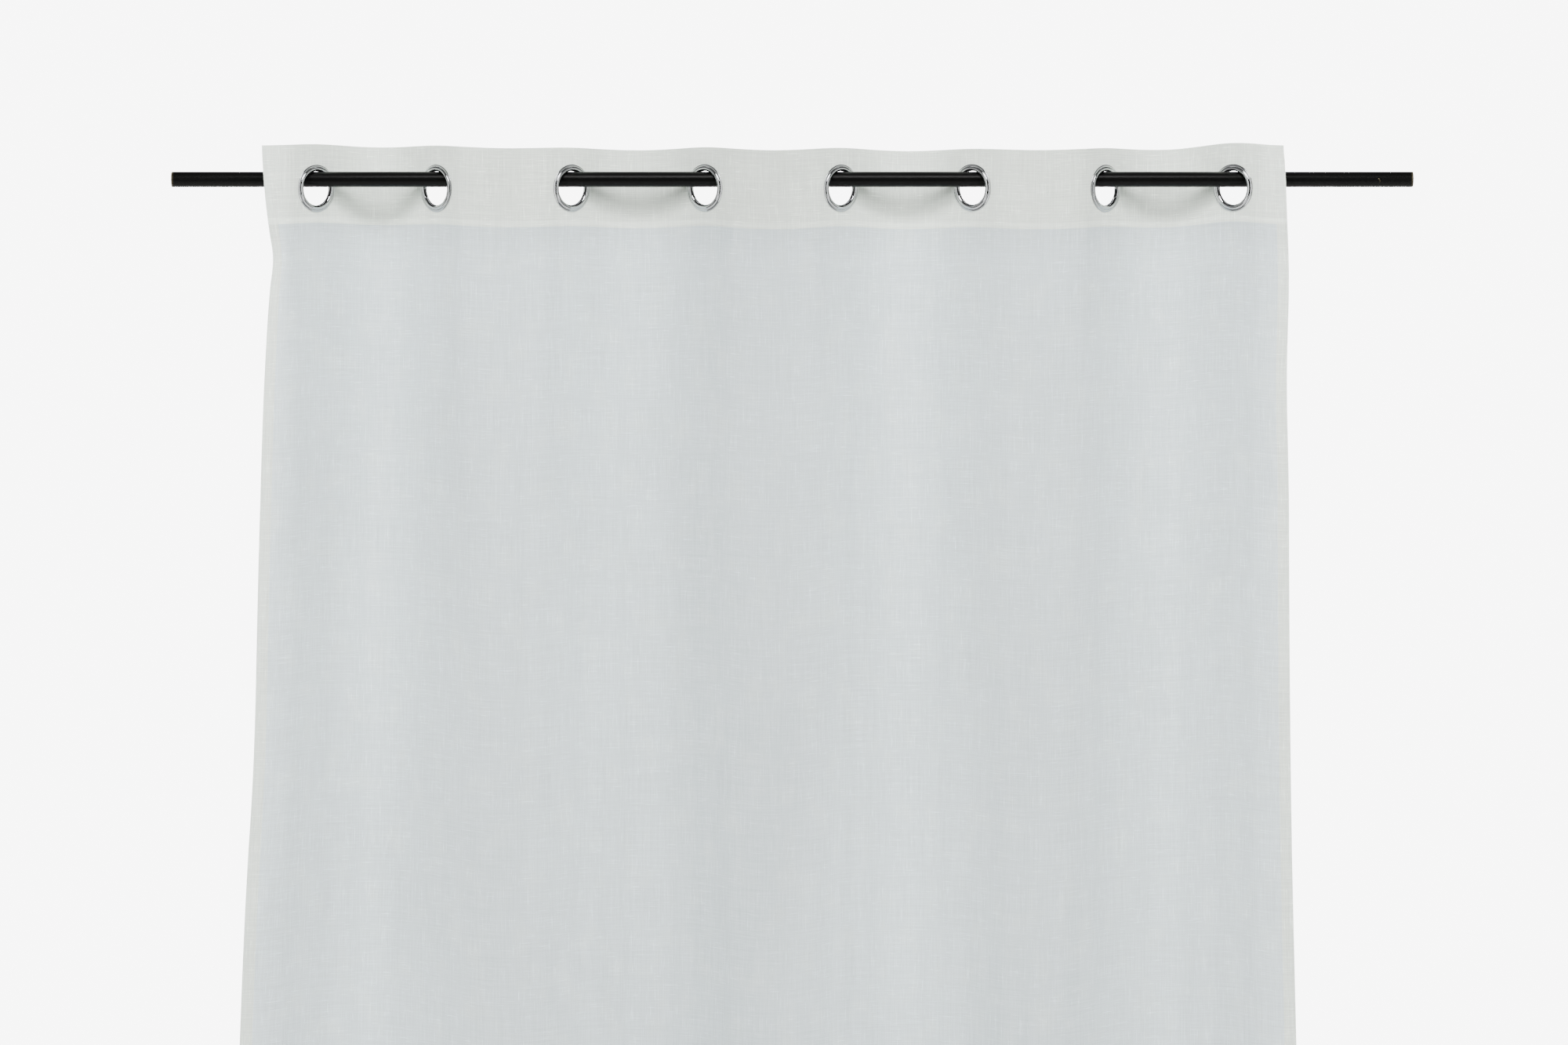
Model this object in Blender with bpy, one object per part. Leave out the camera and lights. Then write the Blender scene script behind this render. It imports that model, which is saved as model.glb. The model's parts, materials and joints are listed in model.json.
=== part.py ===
"""An eyelet curtain drawn out along a plain round rod.

The frame has its origin on the rod's axis, halfway along the rod. X runs along the rod, -Y faces the
room and Z is up. The cloth is one sheet on the real curtain. Here it is divided at its folds into
pleats, one for each eyelet, and each fold line is a hinge, so the curtain can be gathered on its rod.
"""

from math import cos, pi, radians, sin, tan

import bmesh
import bpy
from mathutils import Vector

# Rod
ROD_LENGTH = 1.456
ROD_DIAMETER = 0.0178
ROD_WALL = 0.0010
ROD_SEGMENTS = 48

# Cloth, as cut and sewn
CLOTH_THICKNESS = 0.0003
CURTAIN_LENGTH = 2.400
EYELET_PITCH = 0.181
SIDE_MARGIN = 0.0725
HEADING_HEIGHT = 0.091
HEADING_TOP_FOLD = 0.0006
HEADING_SEAM = 0.0040
SIDE_HEM_WIDTH = 0.013
BOTTOM_HEM_HEIGHT = 0.080
STIFFENER_THICKNESS = 0.00025

# Eyelets, each two halves that snap together through the heading
EYELET_BELOW_TOP = 0.0475
EYELET_THROAT_RADIUS = 0.0200
EYELET_BARREL_WALL = 0.0008
EYELET_BARREL_REACH = 0.0003
EYELET_LIP_OUTSET = 0.0003
EYELET_CREST_OUTSET = 0.0025
EYELET_OUTER_RADIUS = 0.02775
EYELET_EDGE = 0.0005
EYELET_RISE = 0.0018
EYELET_SEGMENTS = 32
DOME_STEPS = 2
FLAT_BESIDE_EYELET = 0.0008

# How the curtain hangs. The shift is from the rod's middle to halfway between the end eyelets.
CURTAIN_SHIFT = -0.0206
BAY_SPREAD = (0.783, 0.872, 0.869, 0.877, 0.856, 0.859, 0.833)
EYELET_TURN_DEG = (46.0, 44.5, 42.5, 41.0, 42.5, 40.5, 47.0, 40.5)
WAVE_ROUNDNESS = 0.34
WAVE_STEPS = 6

# Clearances
SEAT_GAP = 0.0003
FOLD_GAP = 0.0003

# Solver for the places that follow from how the cloth hangs
SOLVER_STEPS = 30
CLEARANCE_SAMPLES = 360

# Faces of a swept piece that meet at less than this angle are one face
FLAT_ENOUGH = radians(0.01)

BLACK = ((0.012, 0.012, 0.013, 1.0), 0.35, 0.0)
CHROME = ((0.80, 0.80, 0.81, 1.0), 0.12, 1.0)
LINEN = ((0.68, 0.70, 0.69, 1.0), 0.90, 0.0)
BUCKRAM = ((0.82, 0.81, 0.77, 1.0), 0.85, 0.0)

ROD_RADIUS = ROD_DIAMETER / 2
HEADING_THICKNESS = 2 * CLOTH_THICKNESS + STIFFENER_THICKNESS + 2 * SEAT_GAP
HALF_HEADING = HEADING_THICKNESS / 2
EYELET_SEAT = HALF_HEADING + SEAT_GAP
EYELET_CREST_RADIUS = EYELET_THROAT_RADIUS + EYELET_CREST_OUTSET
BARREL_END = EYELET_SEAT + EYELET_BARREL_REACH
BARREL_RADIUS = EYELET_THROAT_RADIUS + EYELET_BARREL_WALL
HOLE_RADIUS = BARREL_RADIUS + SEAT_GAP
FLAT_HALF_WIDTH = EYELET_OUTER_RADIUS + FLAT_BESIDE_EYELET
BAY_SPACINGS = [EYELET_PITCH * spread for spread in BAY_SPREAD]
FIRST_EYELET_X = CURTAIN_SHIFT - sum(BAY_SPACINGS) / 2
EYELET_X = [FIRST_EYELET_X + sum(BAY_SPACINGS[:n]) for n in range(len(EYELET_TURN_DEG))]


def clear_scene():
    """Remove whatever the scene holds."""
    for thing in list(bpy.data.objects):
        bpy.data.objects.remove(thing, do_unlink=True)


def make_material(name, finish):
    """A Principled material with a colour, a roughness and a metallic value."""
    colour, roughness, metallic = finish
    material = bpy.data.materials.new(name)
    material.use_nodes = True
    shader = material.node_tree.nodes["Principled BSDF"]
    shader.inputs["Base Color"].default_value = colour
    shader.inputs["Roughness"].default_value = roughness
    shader.inputs["Metallic"].default_value = metallic
    material.diffuse_color = colour
    return material


def make_object(name, mesh, material, parent=None):
    """Put a mesh into the scene as a named object at its parent's origin."""
    made = bpy.data.objects.new(name, mesh)
    bpy.context.collection.objects.link(made)
    if material and not mesh.materials:
        mesh.materials.append(material)
    made.parent = parent
    return made


def mesh_from(name, vertices, faces):
    """A mesh from points and faces, with its faces pointing out."""
    mesh = bpy.data.meshes.new(name)
    mesh.from_pydata(vertices, [], faces)
    shape = bmesh.new()
    shape.from_mesh(mesh)
    bmesh.ops.recalc_face_normals(shape, faces=shape.faces)
    shape.to_mesh(mesh)
    shape.free()
    return mesh


def smooth(mesh, sharp_above):
    """Shade a round piece smooth, apart from its sharp edges."""
    mesh.shade_smooth()
    mesh.set_sharp_from_angle(angle=sharp_above)


def turned(name, profile, segments, place):
    """Turn a closed profile of (radius, height) points round an axis.

    place puts a point into the mesh from its radius, its angle and its height along the axis.
    """
    vertices = []
    for step in range(segments):
        angle = 2 * pi * step / segments
        vertices += [place(radius, angle, height) for radius, height in profile]
    count = len(profile)
    faces = []
    for step in range(segments):
        here = step * count
        there = (step + 1) % segments * count
        for point in range(count):
            after = (point + 1) % count
            faces.append((here + point, here + after, there + after, there + point))
    mesh = mesh_from(name, vertices, faces)
    smooth(mesh, radians(40))
    return mesh


def about_x(radius, angle, height):
    """A turned point on the rod, whose axis is X."""
    return (height, radius * sin(angle), radius * cos(angle))


def about_y(radius, angle, height):
    """A turned point on an eyelet, whose axis points to the room, along -Y."""
    return (radius * sin(angle), -height, radius * cos(angle))


def quarter_round(start, end, steps):
    """Points after start up to end on a quarter of an ellipse that leaves start along the axis."""
    points = []
    for step in range(1, steps + 1):
        angle = pi / 2 * step / steps
        radius = start[0] + (end[0] - start[0]) * (1 - cos(angle))
        height = start[1] + (end[1] - start[1]) * sin(angle)
        points.append((radius, height))
    return points


def rim_profile():
    """The rim that both halves show, from the flange's edge over the crest and into the throat."""
    edge = (EYELET_OUTER_RADIUS, EYELET_SEAT + EYELET_EDGE)
    crest = (EYELET_CREST_RADIUS, EYELET_SEAT + EYELET_RISE)
    dome = [edge] + quarter_round(edge, crest, DOME_STEPS)
    throat = (EYELET_THROAT_RADIUS, 0)
    lip = [throat] + quarter_round(throat, crest, DOME_STEPS)[:-1]
    return dome + lip[::-1]


def front_half_profile():
    """The front half: the rim and the barrel that goes through the heading."""
    inside = (EYELET_THROAT_RADIUS, -BARREL_END)
    outside = (BARREL_RADIUS, -BARREL_END)
    root = (BARREL_RADIUS, EYELET_SEAT)
    seat = (EYELET_OUTER_RADIUS, EYELET_SEAT)
    return rim_profile() + [inside, outside, root, seat]


def back_half_profile():
    """The back half: a rim with a recess that the barrel snaps into."""
    edge = (EYELET_OUTER_RADIUS, -EYELET_SEAT - EYELET_EDGE)
    crest = (EYELET_CREST_RADIUS, -EYELET_SEAT - EYELET_RISE)
    stop = -BARREL_END - SEAT_GAP
    throat = (EYELET_THROAT_RADIUS + EYELET_LIP_OUTSET, stop)
    lip = [throat] + quarter_round(throat, crest, DOME_STEPS)[:-1]
    recess = [(HOLE_RADIUS, stop), (HOLE_RADIUS, -EYELET_SEAT)]
    seat = (EYELET_OUTER_RADIUS, -EYELET_SEAT)
    return [edge] + quarter_round(edge, crest, DOME_STEPS) + lip[::-1] + recess + [seat]


def ring_clearance(turn, drop):
    """The least gap between the rod and an eyelet turned from the rod, centred that far below it."""
    flat_side = cos(pi / EYELET_SEGMENTS)
    nearest = EYELET_OUTER_RADIUS
    for radius, height in front_half_profile() + back_half_profile():
        for sample in range(CLEARANCE_SAMPLES):
            angle = 2 * pi * sample / CLEARANCE_SAMPLES
            across = radius * flat_side * sin(angle) * sin(turn) + height * cos(turn)
            up = radius * flat_side * cos(angle) - drop
            nearest = min(nearest, Vector((across, up)).length)
    return nearest - ROD_RADIUS


def halved(low, high, low_side):
    """The value between low and high up to which low_side stays true."""
    for _ in range(SOLVER_STEPS):
        middle = (low + high) / 2
        if low_side(middle):
            low = middle
        else:
            high = middle
    return low


def eyelet_turn(hung_deg):
    """An eyelet's angle to the rod: as it hangs, or squarer where the rod would jam in it."""
    squarest = pi / 2
    passing = squarest - halved(0, squarest, lambda tilt: ring_clearance(squarest - tilt, 0) > SEAT_GAP)
    return max(radians(hung_deg), passing)


def eyelet_drop(turn):
    """How far an eyelet's centre hangs below the rod's axis when its throat rests on the rod."""
    deepest = EYELET_THROAT_RADIUS
    return halved(0, deepest, lambda drop: ring_clearance(turn, drop) > SEAT_GAP)


def wave_half(reach, turn, depth):
    """The cloth's centre line from beside an eyelet to the fold, as (point, direction) pairs.

    Points are (along the rod, away from it), from the eyelet's centre. The line leaves at the
    eyelet's turn and ends parallel to the rod.
    """
    leaving = Vector((cos(turn), sin(turn)))
    arriving = Vector((1, 0))
    start = leaving * FLAT_HALF_WIDTH
    end = Vector((reach, depth))
    handle = (end - start).length * WAVE_ROUNDNESS
    before = start + leaving * handle
    after = end - arriving * handle
    stations = []
    for step in range(WAVE_STEPS + 1):
        t = step / WAVE_STEPS
        s = 1 - t
        point = s**3 * start + 3 * s**2 * t * before + 3 * s * t**2 * after + t**3 * end
        slope = s**2 * (before - start) + 2 * s * t * (after - before) + t**2 * (end - after)
        stations.append((point, slope.normalized()))
    return stations


def cloth_length(stations):
    """The length of cloth from an eyelet's centre to the end of its half wave."""
    points = [point for point, _ in stations]
    return points[0].length + sum((b - a).length for a, b in zip(points, points[1:]))


def fold_depth(reach, turns):
    """How far a fold stands from the rod, so that the cloth between two eyelets has its cut length."""

    def too_short(depth):
        return sum(cloth_length(wave_half(reach, turn, depth)) for turn in turns) < EYELET_PITCH

    shallowest = FLAT_HALF_WIDTH * sin(min(turns))
    return halved(shallowest, EYELET_PITCH, too_short)


def margin_line(reach, turn):
    """A side margin's centre line: one round sweep from the eyelet and a straight side hem."""
    hem_line = reach - SIDE_HEM_WIDTH
    sweep = hem_line - FLAT_HALF_WIDTH * cos(turn)
    depth = FLAT_HALF_WIDTH * sin(turn) + sweep * tan(turn / 2)
    return wave_half(hem_line, turn, depth) + [(Vector((reach, depth)), Vector((1, 0)))]


def margin_half(turn):
    """The centre line of a side margin that has its cut length."""
    shortest = FLAT_HALF_WIDTH + SIDE_HEM_WIDTH
    fits = halved(shortest, SIDE_MARGIN, lambda reach: cloth_length(margin_line(reach, turn)) < SIDE_MARGIN)
    return margin_line(fits, turn)


class Pleat:
    """One eyelet's share of the curtain, from the fold on its left to the fold on its right."""

    def __init__(self, index, turns):
        self.index = index
        self.first = index == 0
        self.last = index == len(turns) - 1
        self.side = 1 if index % 2 == 0 else -1
        self.turn = turns[index]
        self.drop = eyelet_drop(self.turn)
        self.x = EYELET_X[index]
        self.left = self.half(turns, index - 1, self.first)
        self.right = self.half(turns, index, self.last)

    def half(self, turns, bay, at_margin):
        """The half wave on one side, up to the bay's fold or to the side edge."""
        if at_margin:
            return margin_half(self.turn)
        reach = (BAY_SPACINGS[bay] - FOLD_GAP) / 2
        return wave_half(reach, self.turn, fold_depth(reach, turns[bay : bay + 2]))

    def stations(self):
        """The centre line from left to right in the rod's frame, as (point, direction) pairs."""
        centre = Vector((self.x, 0))
        line = []
        for point, along in reversed(self.left):
            line.append((centre - self.sided(point), self.sided(along)))
        for point, along in self.right:
            line.append((centre + self.sided(point), self.sided(along)))
        return line

    def sided(self, vector):
        """Swap front and back on every second pleat."""
        return Vector((vector.x, vector.y * self.side))

    def fold_pivot(self):
        """The hinge line of the fold on the right, on the hollow side of the cloth."""
        depth = self.right[-1][0].y - HALF_HEADING
        return Vector((self.x + BAY_SPACINGS[self.index] / 2, self.side * depth, 0))

    def eyelet_centre(self):
        """Where the eyelet's middle lies."""
        return Vector((self.x, 0, -self.drop))

    def top(self):
        """The height of the heading's top edge."""
        return EYELET_BELOW_TOP - self.drop


def swept(name, stations, offsets, levels, is_cloth):
    """A solid of cells along a curved line, across the cloth's thickness and up its height.

    offsets run from the cloth's front to its back and levels from top to bottom. is_cloth says
    whether the cell at a step along, across and down is filled.
    """
    shape = bmesh.new()
    corners = {}

    def corner(along, across, down):
        key = (along, across, down)
        if key not in corners:
            point, direction = stations[along]
            front = Vector((direction.y, -direction.x))
            place = point + front * offsets[across]
            corners[key] = shape.verts.new((place.x, place.y, levels[down]))
        return corners[key]

    counts = (len(stations) - 1, len(offsets) - 1, len(levels) - 1)

    def filled(cell):
        inside = all(0 <= number < count for number, count in zip(cell, counts))
        return inside and is_cloth(*cell)

    for along in range(counts[0]):
        for across in range(counts[1]):
            for down in range(counts[2]):
                cell = (along, across, down)
                if not filled(cell):
                    continue
                for axis in range(3):
                    for step in (0, 1):
                        beside = list(cell)
                        beside[axis] += 2 * step - 1
                        if filled(tuple(beside)):
                            continue
                        first, second = (other for other in range(3) if other != axis)
                        square = []
                        for a, b in ((0, 0), (1, 0), (1, 1), (0, 1)):
                            place = list(cell)
                            place[axis] += step
                            place[first] += a
                            place[second] += b
                            square.append(corner(*place))
                        shape.faces.new(square)
    bmesh.ops.recalc_face_normals(shape, faces=shape.faces)
    bmesh.ops.dissolve_limit(shape, angle_limit=FLAT_ENOUGH, verts=shape.verts, edges=shape.edges)
    mesh = bpy.data.meshes.new(name)
    shape.to_mesh(mesh)
    shape.free()
    smooth(mesh, radians(30))
    return mesh


def cloth_mesh(pleat):
    """The pleat's cloth: a hemmed single layer below a heading of two layers with a pocket."""
    front = HALF_HEADING
    inner_front = front - CLOTH_THICKNESS
    hem_back = inner_front - CLOTH_THICKNESS
    offsets = [front, inner_front, hem_back, -inner_front, -front]
    top = pleat.top()
    heading_bottom = top - HEADING_HEIGHT
    bottom = top - CURTAIN_LENGTH
    levels = [top, top - HEADING_TOP_FOLD, heading_bottom + HEADING_SEAM, heading_bottom]
    levels += [bottom + BOTTOM_HEM_HEIGHT, bottom]
    line = pleat.stations()
    edge_steps = [0] if pleat.first else []
    edge_steps += [len(line) - 2] if pleat.last else []

    def is_cloth(along, across, down):
        at_side_edge = along in edge_steps
        if down == 1:
            return at_side_edge or across in (0, 3)
        if down in (0, 2):
            return True
        hemmed = at_side_edge or down == 4
        return across == 0 or (hemmed and across == 1)

    return swept(f"curtain_cloth_{pleat.index + 1}", line, offsets, levels, is_cloth)


def stiffener_mesh(pleat):
    """The pleat's stiffening tape, which fills the heading's pocket with a gap all round."""
    half = STIFFENER_THICKNESS / 2
    top = pleat.top() - HEADING_TOP_FOLD - SEAT_GAP
    bottom = pleat.top() - HEADING_HEIGHT + HEADING_SEAM + SEAT_GAP
    line = pleat.stations()
    if pleat.first:
        line = stopped_short(line[1:])
    if pleat.last:
        line = stopped_short(line[::-1][1:])[::-1]
    name = f"heading_stiffener_{pleat.index + 1}"
    return swept(name, line, [half, -half], [top, bottom], lambda *cell: True)


def stopped_short(line):
    """Pull a line's first point in along the line by the seat gap."""
    point, along = line[0]
    inward = (line[1][0] - point).normalized()
    return [(point + inward * SEAT_GAP, along)] + line[1:]


def moved_to(mesh, origin):
    """Move a mesh made in the rod's frame, for an object whose origin is at a pivot."""
    for vertex in mesh.vertices:
        vertex.co -= origin


def make_cutter(pleat, parent, origin):
    """The round hole that the eyelet's barrel goes through, as a cutter for cloth and stiffener."""
    depth = 2 * EYELET_SEAT
    vertices = [about_y(0, 0, depth), about_y(0, 0, -depth)]
    faces = []
    for step in range(EYELET_SEGMENTS):
        angle = 2 * pi * step / EYELET_SEGMENTS
        vertices += [about_y(HOLE_RADIUS, angle, height) for height in (depth, -depth)]
        here = 2 + 2 * step
        there = 2 + 2 * ((step + 1) % EYELET_SEGMENTS)
        faces += [(0, here, there), (here, here + 1, there + 1, there), (here + 1, 1, there + 1)]
    mesh = mesh_from("hole_cutter", vertices, faces)
    cutter = make_object(f"hole_cutter_{pleat.index + 1}", mesh, None, parent)
    cutter.location = pleat.eyelet_centre() - origin
    cutter.rotation_euler.z = pleat.turn * pleat.side
    cutter.hide_render = True
    cutter.display_type = "WIRE"
    return cutter


def cut_hole(target, cutter):
    """Cut the eyelet's hole through a piece of the heading."""
    cut = target.modifiers.new("eyelet_hole", "BOOLEAN")
    cut.operation = "DIFFERENCE"
    cut.solver = "EXACT"
    cut.object = cutter


def make_pivot(name, parent, place, parent_place):
    """An empty on a joint's axis."""
    pivot = bpy.data.objects.new(name, None)
    bpy.context.collection.objects.link(pivot)
    pivot.parent = parent
    pivot.location = place - parent_place
    return pivot


def make_rod():
    """The rod: one plain round tube with open ends."""
    inner = ROD_RADIUS - ROD_WALL
    half = ROD_LENGTH / 2
    profile = [(ROD_RADIUS, -half), (ROD_RADIUS, half), (inner, half), (inner, -half)]
    mesh = turned("curtain_rod", profile, ROD_SEGMENTS, about_x)
    return make_object("curtain_rod", mesh, make_material("satin_black_steel", BLACK))


def make_pleat(pleat, parent, origin, meshes, materials):
    """One pleat on its pivot: its cloth, its stiffener and the two halves of its eyelet."""
    number = pleat.index + 1
    cutter = make_cutter(pleat, parent, origin)
    for finish, mesh in (("cloth", cloth_mesh(pleat)), ("stiffener", stiffener_mesh(pleat))):
        moved_to(mesh, origin)
        cut_hole(make_object(mesh.name, mesh, materials[finish], parent), cutter)
    for half in ("front", "back"):
        eyelet = make_object(f"eyelet_{half}_{number}", meshes[half], materials["eyelet"], parent)
        eyelet.location = pleat.eyelet_centre() - origin
        eyelet.rotation_euler.z = pleat.turn * pleat.side


def build():
    """Make the rod and the curtain that hangs from it."""
    clear_scene()
    make_rod()
    materials = {
        "cloth": make_material("linen_cloth", LINEN),
        "stiffener": make_material("buckram_tape", BUCKRAM),
        "eyelet": make_material("polished_chrome", CHROME),
    }
    meshes = {
        "front": turned("eyelet_front", front_half_profile(), EYELET_SEGMENTS, about_y),
        "back": turned("eyelet_back", back_half_profile(), EYELET_SEGMENTS, about_y),
    }
    turns = [eyelet_turn(hung) for hung in EYELET_TURN_DEG]
    parent = None
    parent_place = Vector((0, 0, 0))
    place = Vector((EYELET_X[0], 0, 0))
    for index in range(len(turns)):
        pleat = Pleat(index, turns)
        parent = make_pivot(f"pleat_{index + 1}_pivot", parent, place, parent_place)
        make_pleat(pleat, parent, place, meshes, materials)
        parent_place = place
        if not pleat.last:
            place = pleat.fold_pivot()


build()
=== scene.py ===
"""The finished eyelet curtain: its linen, heading tape, stitching, chrome eyelets, rod and studio.

The packed model gives every place. X runs along the rod, -Y faces the room, Z is up and the
origin is on the rod's axis. The cloth is laid out flat first: u runs across the cut from the
left side edge, and t runs down it from the top fold and is negative on the turned-over heading.
"""

import json
import math
import random

import bpy
import numpy as np
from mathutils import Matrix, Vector


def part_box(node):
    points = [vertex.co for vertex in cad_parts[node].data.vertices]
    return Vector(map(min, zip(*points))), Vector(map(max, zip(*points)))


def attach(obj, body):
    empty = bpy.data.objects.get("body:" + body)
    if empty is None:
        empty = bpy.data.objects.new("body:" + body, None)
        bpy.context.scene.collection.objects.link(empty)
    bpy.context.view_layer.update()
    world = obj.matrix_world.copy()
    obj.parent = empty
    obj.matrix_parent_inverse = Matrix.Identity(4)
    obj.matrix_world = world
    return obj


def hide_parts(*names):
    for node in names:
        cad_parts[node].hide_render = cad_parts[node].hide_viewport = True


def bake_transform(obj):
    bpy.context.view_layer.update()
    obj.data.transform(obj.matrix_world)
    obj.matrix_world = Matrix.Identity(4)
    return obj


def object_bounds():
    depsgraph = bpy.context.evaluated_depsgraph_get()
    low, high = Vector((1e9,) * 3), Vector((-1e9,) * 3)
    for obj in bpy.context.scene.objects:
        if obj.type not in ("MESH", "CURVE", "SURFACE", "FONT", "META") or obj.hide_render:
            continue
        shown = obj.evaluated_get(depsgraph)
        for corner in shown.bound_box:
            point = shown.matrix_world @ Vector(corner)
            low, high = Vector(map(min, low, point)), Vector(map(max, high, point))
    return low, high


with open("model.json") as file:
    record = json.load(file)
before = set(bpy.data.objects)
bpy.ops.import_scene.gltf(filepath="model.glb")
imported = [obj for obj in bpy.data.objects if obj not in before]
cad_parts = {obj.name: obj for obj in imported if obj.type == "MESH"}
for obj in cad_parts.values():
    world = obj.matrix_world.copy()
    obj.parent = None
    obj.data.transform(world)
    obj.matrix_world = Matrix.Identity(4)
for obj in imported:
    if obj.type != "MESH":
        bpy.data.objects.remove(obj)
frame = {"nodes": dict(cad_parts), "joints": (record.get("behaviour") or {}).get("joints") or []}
CAD_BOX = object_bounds()

bl_info = {
    "name": "Eyelet Curtain",
    "version": (1, 0, 0),
    "blender": (4, 5, 0),
    "location": "View3D > Sidebar > Curtain",
    "description": "Dresses the eyelet curtain model with cloth, stitching, eyelets and a rod",
    "category": "Object",
}

EYELETS = sum(name.startswith("eyelet_front_") for name in frame["nodes"])
FOLD_PIVOTS = [Vector(joint["pos_m"]) for joint in frame["joints"][1:]]
CUT_UV = "cut"

# Half the thickness of the model's heading
HALF_HEADING = 0.000725
# How far the handles of a bay's curve reach, over the distance between its ends
WAVE_ROUNDNESS = 0.34


# Measuring the frame


def node_points(name):
    """The corners of a CAD node, each once."""
    corners = np.array([vertex.co[:] for vertex in frame["nodes"][name].data.vertices])
    return np.unique(corners.round(6), axis=0)


class Ring:
    """Where one eyelet sits and which way it faces, read from its two halves."""

    def __init__(self, number):
        front = node_points(f"eyelet_front_{number}")
        both = np.concatenate([front, node_points(f"eyelet_back_{number}")])
        self.centre = (both.min(axis=0) + both.max(axis=0)) / 2
        spread = front - front.mean(axis=0)
        axis = np.linalg.svd(spread, full_matrices=False)[2][2]
        self.facing = axis if axis[1] < 0 else -axis
        self.along = np.array((-self.facing[1], self.facing[0]))
        self.flat = self.centre[:2]


RINGS = [Ring(number) for number in range(1, EYELETS + 1)]


def smoothstep(low, high, value):
    """0 below low, 1 above high and a soft ramp between."""
    share = np.clip((value - low) / (high - low), 0, 1)
    return share * share * (3 - 2 * share)


def bump(value, middle, width):
    """A soft hump of height 1."""
    return np.exp(-(((value - middle) / width) ** 2))


def smooth_curve(knots, value):
    """A smooth curve through a few (position, height) knots, level beyond the last."""
    x, y = np.array(knots, float).T
    slope = np.gradient(y, x)
    slope[0] = slope[-1] = 0
    value = np.clip(value, x[0], x[-1])
    at = np.clip(np.searchsorted(x, value, side="right") - 1, 0, len(x) - 2)
    gap = x[at + 1] - x[at]
    share = (value - x[at]) / gap
    start = (1 + 2 * share) * (1 - share) ** 2 * y[at] + share * (1 - share) ** 2 * gap * slope[at]
    end = share**2 * (3 - 2 * share) * y[at + 1] + share**2 * (share - 1) * gap * slope[at + 1]
    return start + end


def unit(vectors):
    """Vectors brought to length 1."""
    return vectors / np.maximum(np.linalg.norm(vectors, axis=-1, keepdims=True), 1e-12)


def line_length(line):
    """The length of a line of points."""
    return np.linalg.norm(np.diff(line, axis=0), axis=1).sum()


def spaced(line, count):
    """The same line as evenly spaced points."""
    run = np.concatenate([[0], np.cumsum(np.linalg.norm(np.diff(line, axis=0), axis=1))])
    even = np.linspace(0, run[-1], count)
    return np.stack([np.interp(even, run, line[:, axis]) for axis in range(2)], axis=1)


def sweep(ring, sense, flat_width, fold, steps=24):
    """The heading's line from an eyelet's centre, straight past its flange and round to a fold."""
    leaving = ring.along * sense
    arriving = np.array((sense, 0.0))
    start = ring.flat + leaving * flat_width
    handle = np.linalg.norm(fold - start) * WAVE_ROUNDNESS
    corners = (start, start + leaving * handle, fold - arriving * handle, fold)
    share = np.linspace(0, 1, steps)[:, None]
    weights = ((1 - share) ** 3, 3 * share * (1 - share) ** 2, 3 * share**2 * (1 - share), share**3)
    curve = sum(weight * corner for weight, corner in zip(weights, corners))
    return np.concatenate([ring.flat[None], curve])


def fold_point(bay):
    """The crest of the heading's line between two eyelets, which lies off its hinge line."""
    pivot = FOLD_PIVOTS[bay]
    return np.array((pivot.x, pivot.y + math.copysign(HALF_HEADING, pivot.y)))


# Sizes and colours


def length(name, default, description):
    """A length in metres."""
    return bpy.props.FloatProperty(
        name=name, default=default, description=description, unit="LENGTH", subtype="DISTANCE", precision=5
    )


def colour(name, default, description):
    """A linear colour."""
    return bpy.props.FloatVectorProperty(
        name=name, default=default, description=description, size=3, subtype="COLOR", min=0, max=1
    )


def fraction(name, default, description):
    """A number from 0 to 1."""
    return bpy.props.FloatProperty(
        name=name, default=default, description=description, min=0, max=1, subtype="FACTOR"
    )


class ClothSettings(bpy.types.PropertyGroup):
    """The cut, the hems and the colour of the curtain's cloth."""

    pitch: length("Eyelet Pitch", 0.181, "Cloth between two eyelets")
    margin: length("Side Margin", 0.0725, "Cloth from the last eyelet to the side edge")
    drop: length("Finished Length", 2.400, "From the top fold to the bottom fold")
    heading: length("Heading Height", 0.092, "From the top fold to the heading's seam")
    allowance: length("Seam Allowance", 0.0072, "Cloth turned in at the heading's seam")
    side_hem: length("Side Hem", 0.013, "Width of the hem down each side")
    bottom_hem: length("Bottom Hem", 0.080, "Height of the hem at the bottom")
    flat_width: length("Flat Beside Eyelet", 0.02855, "Straight cloth each side of an eyelet")
    hole: length("Hole Radius", 0.0226, "Hole in the cloth, hidden under the flanges")
    column: length("Column Width", 0.0028, "Width of the mesh's columns")
    row: length("Row Height", 0.0085, "Height of the mesh's rows in the body of the cloth")
    fine_row: length("Heading Row Height", 0.0028, "Height of the mesh's rows in the heading")
    thread_pitch: length("Thread Pitch", 0.00048, "Distance between two threads of the weave")
    single: colour("Single Layer", (0.53, 0.603, 0.62), "Colour of one layer of cloth")
    doubled: colour("Doubled Cloth", (0.745, 0.80, 0.725), "Colour where hems double the cloth")
    openness: fraction("Openness", 0.10, "How far the weave opens between its threads")
    glow: fraction("Light Passed", 0.15, "Light that the threads pass from behind")


class TapeSettings(bpy.types.PropertyGroup):
    """The stiffening tape in the heading."""

    gap: length("Pocket Gap", 0.0015, "Clearance from the tape to the pocket's folds")
    mesh_pitch: length("Yarn Pitch", 0.0011, "Distance between two yarns of the tape")
    tint: colour("Tape", (0.78, 0.76, 0.68), "Colour of the tape")


class StitchSettings(bpy.types.PropertyGroup):
    """The lockstitch rows on the hems and the heading."""

    pitch: length("Stitch Pitch", 0.0033, "Distance between two stitches")
    stitch: length("Stitch Length", 0.0027, "Length of one stitch")
    thread: length("Thread Thickness", 0.00026, "Thickness of the sewing thread")
    inset: length("Edge Distance", 0.0016, "Distance from a hem's inner edge to its stitches")
    tint: colour("Thread", (0.68, 0.69, 0.66), "Colour of the sewing thread")


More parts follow.
